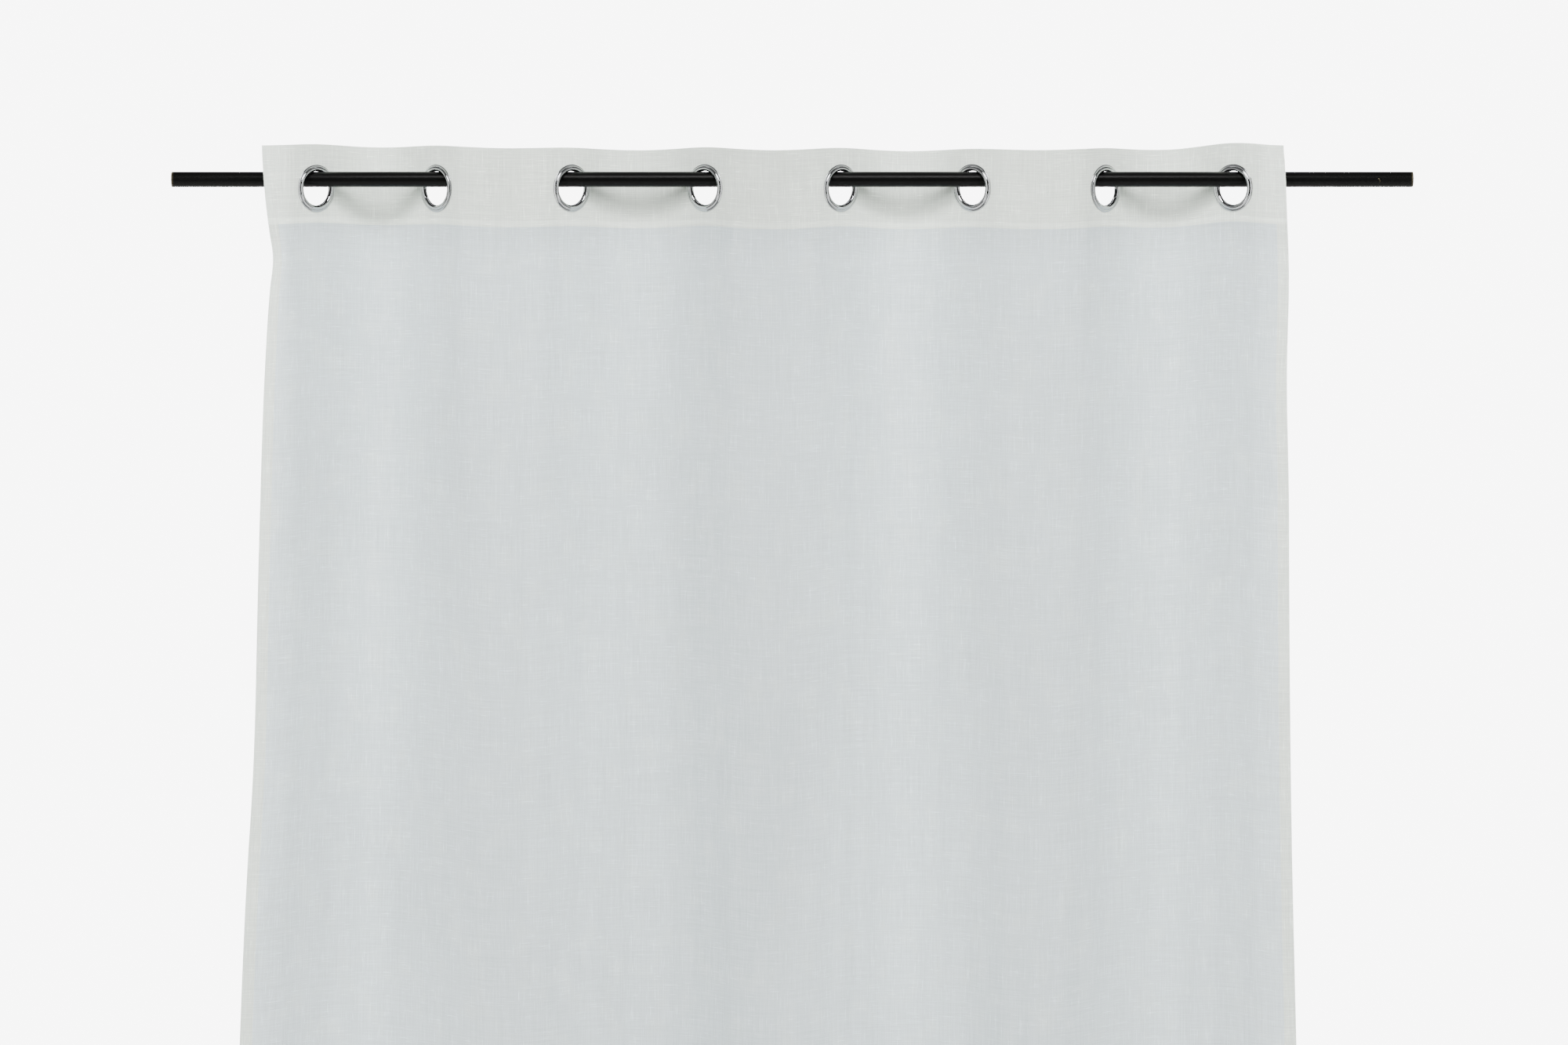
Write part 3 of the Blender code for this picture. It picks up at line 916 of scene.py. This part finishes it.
def chrome_material(eyelets):
    """Bright chrome plating with faint smears and hairlines."""
    material, graph = new_material("polished_chrome")
    place = graph.object_place()
    smear = graph.noise(place, 90.0, 3.0, 0.6)
    grain = graph.noise(place, 1600.0, 2.0)
    stretched = graph.out(
        "ShaderNodeMapping", {"vector_type": "TEXTURE"}, {"Vector": place, "Scale": (1.0, 1.0, 0.02)}
    )
    hairline = graph.ramp(graph.noise(stretched, 3200.0, 1.0), (0.66, 0), (0.72, 1))
    values = {
        "Base Color": graph.tone(rgba(eyelets.tint), 0.97 + smear * 0.05 - hairline * 0.05),
        "Metallic": 1.0,
        "Roughness": 0.045 + smear * 0.06 + hairline * 0.07,
        "Normal": graph.bump(smear * 0.6 + grain * 0.06 - hairline * 0.05, 0.12, 0.0002),
    }
    graph.surface(graph.principled(values))
    return material


NICK_FROM_END = 0.0415
NICK_SIZE = 0.0042


def rod_material(rod):
    """Satin black powder coat with a fine grain, rubbed ends and one small nick."""
    material, graph = new_material("satin_black_steel")
    place = graph.object_place()
    x, y, z = graph.parts(place)
    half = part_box("curtain_rod")[1].x
    grain = graph.noise(place, 2200.0, 2.0, 0.6)
    orange_peel = graph.noise(place, 420.0, 2.0)
    cloud = graph.noise(place, 14.0, 3.0)
    dust = graph.ramp(graph.noise(place, 900.0, 1.0), (0.70, 0), (0.78, 1))

    away_x = (x - (half - NICK_FROM_END)) * (1 / NICK_SIZE)
    away_z = (z + 0.0022) * (1 / NICK_SIZE)
    wobble = (graph.noise(place, 700.0, 2.0) - 0.5) * 0.5
    reach = away_x * away_x * 3 + away_z * away_z + wobble
    crescent = (reach < 0.8) * (away_x * away_x * 3 + (away_z + 0.2) * (away_z + 0.2) > 0.62)
    nick = crescent * (y < 0.0) * (away_x > 0.0)

    edge = graph.ramp(abs(x) * (1 / half), (0.9990, 0), (0.9999, 1))
    rubbed = edge * graph.ramp(grain, (0.42, 0), (0.55, 1))
    bare = graph.math("MAXIMUM", nick, rubbed)
    coat = graph.tone(rgba(rod.tint), 0.85 + cloud * 0.3 + dust * 0.6)
    values = {
        "Base Color": graph.mix(bare, coat, rgba(rod.bare)),
        "Roughness": 0.30 + (cloud - 0.5) * 0.10 + grain * 0.06 + dust * 0.2,
        "Metallic": bare * 0.6,
        "Specular IOR Level": 0.09,
        "Normal": graph.bump(orange_peel * 0.7 + grain * 0.3 - bare * 0.8, 0.18, 0.00015),
    }
    graph.surface(graph.principled(values))
    return material


def floor_material(studio):
    """Matt painted floor."""
    material, graph = new_material("studio_floor")
    place = graph.object_place()
    cloud = graph.noise(place, 1.2, 3.0)
    grain = graph.noise(place, 160.0, 2.0)
    values = {
        "Base Color": graph.tone(rgba(studio.floor), 0.97 + cloud * 0.05),
        "Roughness": 0.75 + grain * 0.1,
        "Normal": graph.bump(grain, 0.05, 0.001),
    }
    graph.surface(graph.principled(values))
    return material


# Operators


class CURTAIN_OT_rod(bpy.types.Operator):
    """Make the rod, a round tube with square-cut ends"""

    bl_idname = "curtain.make_rod"
    bl_label = "Make Rod"

    def execute(self, context):
        rod = context.scene.curtain_rod
        low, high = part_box("curtain_rod")
        half, outer = high.x, high.z
        inner, edge = outer - rod.wall, rod.chamfer
        profile = []
        for sense in (-1, 1):
            corners = [(inner, half), (outer - edge, half), (outer - edge * 0.3, half - edge * 0.3)]
            corners.append((outer, half - edge))
            corners = [(radius, sense * height) for radius, height in corners]
            profile += corners if sense < 0 else corners[::-1]

        def about_rod(radius, angles, height):
            flat = np.full(angles.shape, height)
            return np.stack([flat, radius * np.sin(angles), radius * np.cos(angles)], axis=1)

        mesh = turned_mesh("rod_tube", profile, rod.segments, about_rod)
        tube = finish_object("rod_tube", mesh, rod_material(rod))
        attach(tube, "rod")
        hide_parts("curtain_rod")
        return {"FINISHED"}


# (distance in from the flange's edge, height over its seat), and the groove where the bead starts
FLANGE = ((0, 0), (0, 0.00022), (0.00010, 0.00042), (0.00035, 0.00054))
FLANGE += ((0.0012, 0.00070), (0.0019, 0.00078), (0.0023, 0.00076))
GROOVE = (0.0026, 0.00070)
# The bead: from the throat to its crest, how far it rolls in below the seat, and steps in each quarter
CREST_WIDTH = 0.0025
ROLL_IN = 0.0004
BEAD_STEPS = 10
# Clearance between the barrel and the back half, and the height over the seat where the back's outline starts
SNAP_GAP = 0.0003
BACK_FROM = 0.0006


def rim_profile(eyelets):
    """The rim from the flange's edge to the throat, as (radius, height above the middle)."""
    outer, throat, seat = eyelets.outer, eyelets.throat, eyelets.seat
    flange = [(outer - inward, seat + height) for inward, height in FLANGE]
    foot = (outer - GROOVE[0], seat + GROOVE[1])
    crest = (throat + CREST_WIDTH, seat + eyelets.rise)
    bead = []
    for step in range(BEAD_STEPS + 1):
        angle = math.pi / 2 * step / BEAD_STEPS
        radius = foot[0] + (crest[0] - foot[0]) * (1 - math.cos(angle))
        bead.append((radius, foot[1] + (crest[1] - foot[1]) * math.sin(angle)))
    for step in range(1, BEAD_STEPS + 1):
        angle = math.pi / 2 * step / BEAD_STEPS
        radius = crest[0] + (throat - crest[0]) * math.sin(angle)
        bead.append((radius, seat - ROLL_IN + (crest[1] - seat + ROLL_IN) * math.cos(angle)))
    return flange + bead


def eyelet_profile(eyelets, is_front):
    """One half of an eyelet: the front has the barrel and the back has the recess for it."""
    rim = rim_profile(eyelets)
    end = eyelets.seat + eyelets.reach
    if is_front:
        inner, outer = eyelets.throat, eyelets.throat + eyelets.wall
        return rim + [(inner, -end), (outer, -end), (outer, eyelets.seat)]
    lip = eyelets.throat + SNAP_GAP
    rim = [(max(radius, lip), -height) for radius, height in rim if height > eyelets.seat + BACK_FROM]
    rim = [(eyelets.outer - inward, -eyelets.seat - height) for inward, height in FLANGE[:2]] + rim
    recess = eyelets.throat + eyelets.wall + SNAP_GAP
    rim += [(lip, -end - SNAP_GAP), (recess, -end - SNAP_GAP), (recess, -eyelets.seat)]
    return rim[::-1]


class CURTAIN_OT_eyelets(bpy.types.Operator):
    """Make both halves of every eyelet"""

    bl_idname = "curtain.make_eyelets"
    bl_label = "Make Eyelets"

    def execute(self, context):
        eyelets = context.scene.curtain_eyelets
        material = chrome_material(eyelets)
        for number, ring in enumerate(RINGS, start=1):
            for half in ("front", "back"):
                name = f"eyelet_rim_{half}_{number}"
                profile = eyelet_profile(eyelets, half == "front")
                mesh = turned_mesh(name, profile, eyelets.segments, self.about(ring, eyelets.settle))
                rim = finish_object(name, mesh, material)
                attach(rim, f"pleat_{number}")
                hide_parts(f"eyelet_{half}_{number}")
        return {"FINISHED"}

    @staticmethod
    def about(ring, settle):
        """Places turned points round an eyelet's axis, which points to the room."""
        along = np.array((*ring.along, 0.0))
        centre = ring.centre - (0, 0, settle)

        def place(radius, angles, height):
            across = np.outer(radius * np.sin(angles), along)
            up = np.outer(radius * np.cos(angles), (0, 0, 1))
            return centre + across + up + ring.facing * height

        return place


# Columns of the turned-over side hem, and its fold as (place beyond the edge, share of the way to the face)
HEM_COLUMNS = 6
HEM_EASE = 0.0006
SIDE_FOLD = ((-0.0002, 0.06), (-0.00026, 0.35), (-0.00026, 0.65), (-0.0002, 0.94))


class CURTAIN_OT_cloth(bpy.types.Operator):
    """Make the linen: two side margins and a bay between each two eyelets"""

    bl_idname = "curtain.make_cloth"
    bl_label = "Make Cloth"

    def execute(self, context):
        cloth = context.scene.curtain_cloth
        drape, cut = Drape(cloth), Cut(cloth)
        material = linen_material(cloth)
        for part in range(EYELETS + 1):
            name = f"linen_{part_name(part)}"
            mesh = sheet_mesh(name, *self.grid(drape, cut, part))
            piece = finish_object(name, mesh, material)
            hang_on_frame(piece, part, [f"curtain_cloth_{part}"] if part else [])
        return {"FINISHED"}

    @staticmethod
    def columns(drape, part):
        """Columns of one part as (u on the cut, u on the wave, how far behind the cloth's face)."""
        cloth = drape.cloth
        start, end = drape.borders[part : part + 2]
        count = max(2, round((end - start) / cloth.column) + 1)
        columns = [(u, u, 0.0) for u in np.linspace(start, end, count)]
        if part not in (0, EYELETS):
            return columns
        back = [(u, u, LAYER_STEP) for u in np.linspace(cloth.side_hem, HEM_EASE, HEM_COLUMNS)]
        back += [(0.0, place, LAYER_STEP * (1 - depth)) for place, depth in SIDE_FOLD]
        if part == EYELETS:
            width = drape.width
            return columns + [(width - cut, width - u, behind) for cut, u, behind in back[::-1]]
        return back + columns

    def grid(self, drape, cut, part):
        """The points, UVs and normals of one part, and which of its faces are kept."""
        columns = np.array(self.columns(drape, part))
        down, ply, side = cut.rows[:, 1:2], cut.rows[:, 2:3], cut.rows[:, 3:4]
        wave = np.broadcast_to(columns[:, 1], (len(down), len(columns))).copy()
        drop = np.broadcast_to(down, wave.shape).copy()
        kept = self.open_holes(drape, part, wave, drop, cut.rows[:, 0])
        behind = ply - side * columns[:, 2]
        points = drape.place(wave, drop, behind)
        left = drape.place(wave - READ_OVER, drop, behind)
        right = drape.place(wave + READ_OVER, drop, behind)
        normals = unit(np.cross(right - left, np.gradient(points, axis=0)) * self.face_sense(columns))
        uvs = np.stack(np.broadcast_arrays(columns[None, :, 0], cut.rows[:, 0:1]), axis=-1)
        return points, uvs, -normals, kept

    @staticmethod
    def face_sense(columns):
        """-1 on the turned-over side hem, where the wave runs the other way, and 1 elsewhere."""
        return np.where(np.gradient(columns[:, 1]) < 0, -1.0, 1.0)[None, :, None]

    @staticmethod
    def open_holes(drape, part, wave, drop, t):
        """Pull the cloth back to the rim of each hole, and say which faces stay."""
        hole = drape.cloth.hole
        rings = [number for number in (part - 1, part) if 0 <= number < EYELETS]
        gone = np.zeros(wave.shape, bool)
        layers = (np.abs(t) < drape.cloth.heading)[:, None]
        for number in rings:
            ring = RINGS[number]
            across = wave - drape.ring_u[number]
            up = drape.top(np.clip(wave, 0, drape.width)) - drop - ring.centre[2]
            away = np.hypot(across, up)
            inside = (away < hole) & layers
            gone |= inside
            grow = hole / np.maximum(away, 1e-6)
            moved = drape.ring_u[number] + across * grow
            height = ring.centre[2] + up * grow
            wave[inside] = moved[inside]
            drop[inside] = (drape.top(np.clip(moved, 0, drape.width)) - height)[inside]
        all_gone = gone[:-1, :-1] & gone[1:, :-1] & gone[1:, 1:] & gone[:-1, 1:]
        return ~all_gone


class CURTAIN_OT_tape(bpy.types.Operator):
    """Make the stiffening tape in the heading's pocket"""

    bl_idname = "curtain.make_tape"
    bl_label = "Make Heading Tape"

    def execute(self, context):
        cloth, tape = context.scene.curtain_cloth, context.scene.curtain_tape
        drape = Drape(cloth)
        material = tape_material(tape)
        top, bottom = tape.gap, cloth.heading - cloth.allowance - tape.gap
        rows = np.linspace(top, bottom, round((bottom - top) / cloth.fine_row) + 1)
        for part in range(EYELETS + 1):
            columns = np.array([u for u, _, behind in CURTAIN_OT_cloth.columns(drape, part) if behind == 0])
            if part == 0:
                columns = columns[columns > cloth.side_hem + tape.gap]
            if part == EYELETS:
                columns = columns[columns < drape.width - cloth.side_hem - tape.gap]
            wave, drop = (grid.copy() for grid in np.meshgrid(columns, rows))
            kept = CURTAIN_OT_cloth.open_holes(drape, part, wave, drop, rows)
            points = drape.place(wave, drop, np.zeros(wave.shape))
            normals = unit(np.cross(np.gradient(points, axis=1), np.gradient(points, axis=0)))
            uvs = np.stack(np.broadcast_arrays(columns[None, :], rows[:, None]), axis=-1)
            name = f"tape_{part_name(part)}"
            mesh = sheet_mesh(name, points, uvs, -normals, kept)
            piece = finish_object(name, mesh, material)
            hang_on_frame(piece, part, [f"heading_stiffener_{part}"] if part else [])
        return {"FINISHED"}


def stitch_tree():
    """Geometry nodes that lay stitches along the edges of a mesh."""
    tree = bpy.data.node_groups.new("stitch_rows", "GeometryNodeTree")
    face = tree.interface
    face.new_socket(name="Geometry", in_out="OUTPUT", socket_type="NodeSocketGeometry")
    for name, kind in (
        ("Geometry", "Geometry"),
        ("Pitch", "Float"),
        ("Length", "Float"),
        ("Thickness", "Float"),
        ("Seed", "Int"),
        ("Thread", "Material"),
    ):
        face.new_socket(name=name, in_out="INPUT", socket_type=f"NodeSocket{kind}")
    graph = Graph(tree)
    given = graph.node("NodeGroupInput")
    rows, pitch, run, thickness, seed, thread = (Wire(graph, socket) for socket in given.outputs[:6])
    curve = graph.out("GeometryNodeMeshToCurve", {}, {"Mesh": rows})
    spots = graph.node("GeometryNodeCurveToPoints", {"mode": "LENGTH"}, {"Curve": curve, "Length": pitch})
    ball = graph.out("GeometryNodeMeshUVSphere", {}, {"Segments": 6, "Rings": 4, "Radius": 0.5})
    ball = graph.out("GeometryNodeSetShadeSmooth", {}, {"Geometry": ball})
    vary = {"data_type": "FLOAT"}
    ends = {"Min_001": 0.90, "Max_001": 1.08, "Seed": seed}
    change = graph.out("FunctionNodeRandomValue", vary, ends, 1)
    size = graph.vector(thickness, thickness, run * change)
    values = {
        "Points": Wire(graph, spots.outputs["Points"]),
        "Instance": ball,
        "Rotation": Wire(graph, spots.outputs["Rotation"]),
        "Scale": size,
    }
    laid = graph.out("GeometryNodeInstanceOnPoints", {}, values)
    real = graph.out("GeometryNodeRealizeInstances", {}, {"Geometry": laid})
    done = graph.out("GeometryNodeSetMaterial", {}, {"Geometry": real, "Material": thread})
    graph.node("NodeGroupOutput", {}, {"Geometry": done})
    return tree


# Steps of the guide lines, the ends of the side rows, and how far a thread stands out, over its thickness
GUIDE_STEP = 0.0025
LONG_GUIDE_STEP = 0.006
SIDE_ROW_TOP = 0.002
SIDE_ROW_END = 0.001
THREAD_STAND = 0.35


class CURTAIN_OT_stitching(bpy.types.Operator):
    """Make the lockstitch rows along the heading, the side hems and the bottom hem"""

    bl_idname = "curtain.make_stitching"
    bl_label = "Make Stitching"

    def execute(self, context):
        stitches = context.scene.curtain_stitches
        drape = Drape(context.scene.curtain_cloth)
        tree, material = stitch_tree(), thread_material(stitches)
        for part in range(EYELETS + 1):
            name = f"stitching_{part_name(part)}"
            mesh = self.sewn(tree, self.rows(drape, stitches, part), stitches, material, part)
            piece = finish_object(name, mesh, material)
            hang_on_frame(piece, part, [])
        return {"FINISHED"}

    @staticmethod
    def rows(drape, stitches, part):
        """The lines that the stitches of one part follow, on both faces of the cloth."""
        cloth = drape.cloth
        start, end = drape.borders[part : part + 2]
        across = np.arange(start + stitches.pitch / 2, end, GUIDE_STEP)
        lift = stitches.thread * THREAD_STAND
        body = FRONT_PLY - BODY_SETBACK
        faces = [(cloth.heading - stitches.inset, FRONT_PLY, -FRONT_PLY)]
        hem_top = cloth.drop - cloth.bottom_hem + stitches.inset
        faces.append((hem_top, body, body - 2 * LAYER_STEP))
        lines = []
        for down, front, back in faces:
            lines.append(drape.place(across, down, front + lift))
            lines.append(drape.place(across, down, back - lift))
        if part in (0, EYELETS):
            inner = cloth.side_hem - stitches.inset
            u = inner if part == 0 else drape.width - inner
            top = np.arange(SIDE_ROW_TOP, cloth.heading, GUIDE_STEP)
            low = np.arange(cloth.heading + SIDE_ROW_TOP, cloth.drop - SIDE_ROW_END, LONG_GUIDE_STEP)
            lines.append(drape.place(u, low, body + lift))
            lines.append(drape.place(u, low, body - LAYER_STEP - lift))
            lines.append(drape.place(u, top, FRONT_PLY + lift))
        return lines

    @staticmethod
    def sewn(tree, lines, stitches, material, seed):
        """The stitches along a set of lines, as one plain mesh."""
        points, edges = [], []
        for line in lines:
            edges += [(len(points) + step, len(points) + step + 1) for step in range(len(line) - 1)]
            points += line.tolist()
        guide = bpy.data.meshes.new("stitch_guide")
        guide.from_pydata(points, edges, [])
        holder = bpy.data.objects.new("stitch_guide", guide)
        bpy.context.scene.collection.objects.link(holder)
        modifier = holder.modifiers.new("stitch_rows", "NODES")
        modifier.node_group = tree
        wanted = {
            "Pitch": stitches.pitch,
            "Length": stitches.stitch,
            "Thickness": stitches.thread,
            "Seed": seed,
            "Thread": material,
        }
        for socket in tree.interface.items_tree:
            if socket.name in wanted and socket.in_out == "INPUT":
                modifier[socket.identifier] = wanted[socket.name]
        depsgraph = bpy.context.evaluated_depsgraph_get()
        mesh = bpy.data.meshes.new_from_object(holder.evaluated_get(depsgraph))
        bpy.data.objects.remove(holder)
        return mesh


FLOOR_GAP = 0.03
FLOOR_SIDES = 96

# Each light's name, place, target, size, power, and whether gloss mirrors it
LIGHTS = (
    ("key_left", (-3.1, -3.3, 1.7), (0, 0, -0.7), (2.0, 2.4), 302, False),
    ("key_right", (3.1, -3.3, 1.7), (0, 0, -0.7), (2.0, 2.4), 302, False),
    ("back_soft", (0.0, 3.2, 0.2), (0, 0, -0.5), (3.6, 2.8), 300, False),
    ("top_strip", (0.0, -2.2, 2.0), (0, 0, 0), (3.4, 0.7), 150, True),
    ("left_strip", (-3.0, -2.2, 0.0), (0, 0, 0), (0.7, 2.4), 26, True),
    ("right_strip", (3.0, -2.2, 0.0), (0, 0, 0), (0.7, 2.4), 26, True),
    ("rod_strip", (0.0, 0.4, 1.6), (0, 0, 0), (2.4, 0.30), 6, True),
)


class CURTAIN_OT_studio(bpy.types.Operator):
    """Make the floor, the lights, the room and the camera"""

    bl_idname = "curtain.make_studio"
    bl_label = "Make Studio"

    def execute(self, context):
        studio = context.scene.curtain_studio
        self.make_floor(studio)
        self.make_world(context.scene, studio)
        self.make_lights(context.scene)
        self.make_camera(context.scene, studio)
        return {"FINISHED"}

    @staticmethod
    def make_floor(studio):
        """A round pale floor just below the cloth."""
        level = CAD_BOX[0].z - FLOOR_GAP
        angles = [2 * math.pi * step / FLOOR_SIDES for step in range(FLOOR_SIDES)]
        radius = studio.floor_radius
        points = [(radius * math.cos(angle), radius * math.sin(angle), level) for angle in angles]
        mesh = bpy.data.meshes.new("studio_floor")
        mesh.from_pydata(points, [], [tuple(range(FLOOR_SIDES))])
        mesh.materials.append(floor_material(studio))
        floor = bpy.data.objects.new("studio_floor", mesh)
        bpy.context.scene.collection.objects.link(floor)

    @staticmethod
    def make_world(scene, studio):
        """A white backdrop, and a soft room that is darker on the camera's side."""
        world = bpy.data.worlds.new("studio")
        world.use_nodes = True
        scene.world = world
        graph = Graph(world.node_tree)
        x, y, z = graph.parts(graph.out("ShaderNodeTexCoord"))
        sides = graph.math("POWER", abs(x), 12.0) * 0.62
        ceiling = graph.math("MAXIMUM", z, 0.0) * 0.14
        behind = graph.math("POWER", graph.math("MAXIMUM", y, 0.0), 8.0)
        level = (0.03 + sides + ceiling + behind) * studio.ambient
        room = graph.out("ShaderNodeBackground", {}, {"Color": WHITE, "Strength": level})
        white = graph.out("ShaderNodeBackground", {}, {"Color": WHITE, "Strength": studio.backdrop})
        seen = graph.out("ShaderNodeLightPath", {}, {}, 0)
        both = graph.out("ShaderNodeMixShader", {}, {0: seen, 1: room, 2: white})
        graph.node("ShaderNodeOutputWorld", {}, {"Surface": both})

    @staticmethod
    def make_lights(scene):
        """Soft boxes in front and behind, and the narrow strips that gloss mirrors."""
        for name, place, target, size, power, glossy in LIGHTS:
            lamp = bpy.data.lights.new(name, "AREA")
            lamp.shape = "RECTANGLE"
            lamp.size, lamp.size_y = size
            lamp.energy = power
            holder = bpy.data.objects.new(name, lamp)
            scene.collection.objects.link(holder)
            holder.location = place
            holder.rotation_euler = (Vector(target) - Vector(place)).to_track_quat("-Z", "Y").to_euler()
            holder.visible_camera = False
            holder.visible_glossy = glossy

    @staticmethod
    def make_camera(scene, studio):
        """A camera at the rod's height that looks a little down, at the curtain's upper half."""
        lens = bpy.data.cameras.new("camera")
        lens.sensor_width = 36
        tilt = math.atan(studio.below / studio.distance)
        lens.lens = lens.sensor_width * studio.distance * math.cos(tilt) / studio.field
        lens.clip_end = 100
        camera = bpy.data.objects.new("camera", lens)
        scene.collection.objects.link(camera)
        camera.location = (studio.across, -studio.distance, 0)
        camera.rotation_euler = (math.pi / 2 - tilt, 0, 0)
        scene.camera = camera


STEPS = (
    CURTAIN_OT_studio,
    CURTAIN_OT_rod,
    CURTAIN_OT_eyelets,
    CURTAIN_OT_stitching,
    CURTAIN_OT_cloth,
    CURTAIN_OT_tape,
)


class CURTAIN_PT_panel(bpy.types.Panel):
    """The curtain's pieces, with their sizes and colours"""

    bl_idname = "CURTAIN_PT_panel"
    bl_label = "Eyelet Curtain"
    bl_space_type = "VIEW_3D"
    bl_region_type = "UI"
    bl_category = "Curtain"

    def draw(self, context):
        for step in STEPS:
            self.layout.operator(step.bl_idname)
        for name, group in SETTINGS.items():
            box = self.layout.box()
            box.label(text=group.__doc__)
            for item in group.__annotations__:
                box.prop(getattr(context.scene, name), item)


CLASSES = (*SETTINGS.values(), *STEPS, CURTAIN_PT_panel)


def register():
    """Add the classes, and the settings to the scene."""
    for item in CLASSES:
        bpy.utils.register_class(item)
    for name, group in SETTINGS.items():
        setattr(bpy.types.Scene, name, bpy.props.PointerProperty(type=group))


def unregister():
    """Take the classes and the settings away."""
    for name in SETTINGS:
        delattr(bpy.types.Scene, name)
    for item in reversed(CLASSES):
        bpy.utils.unregister_class(item)


def main():
    """Make every piece."""
    register()
    for step in STEPS:
        group, name = step.bl_idname.split(".")
        getattr(getattr(bpy.ops, group), name)()


if __name__ == "__main__":
    main()
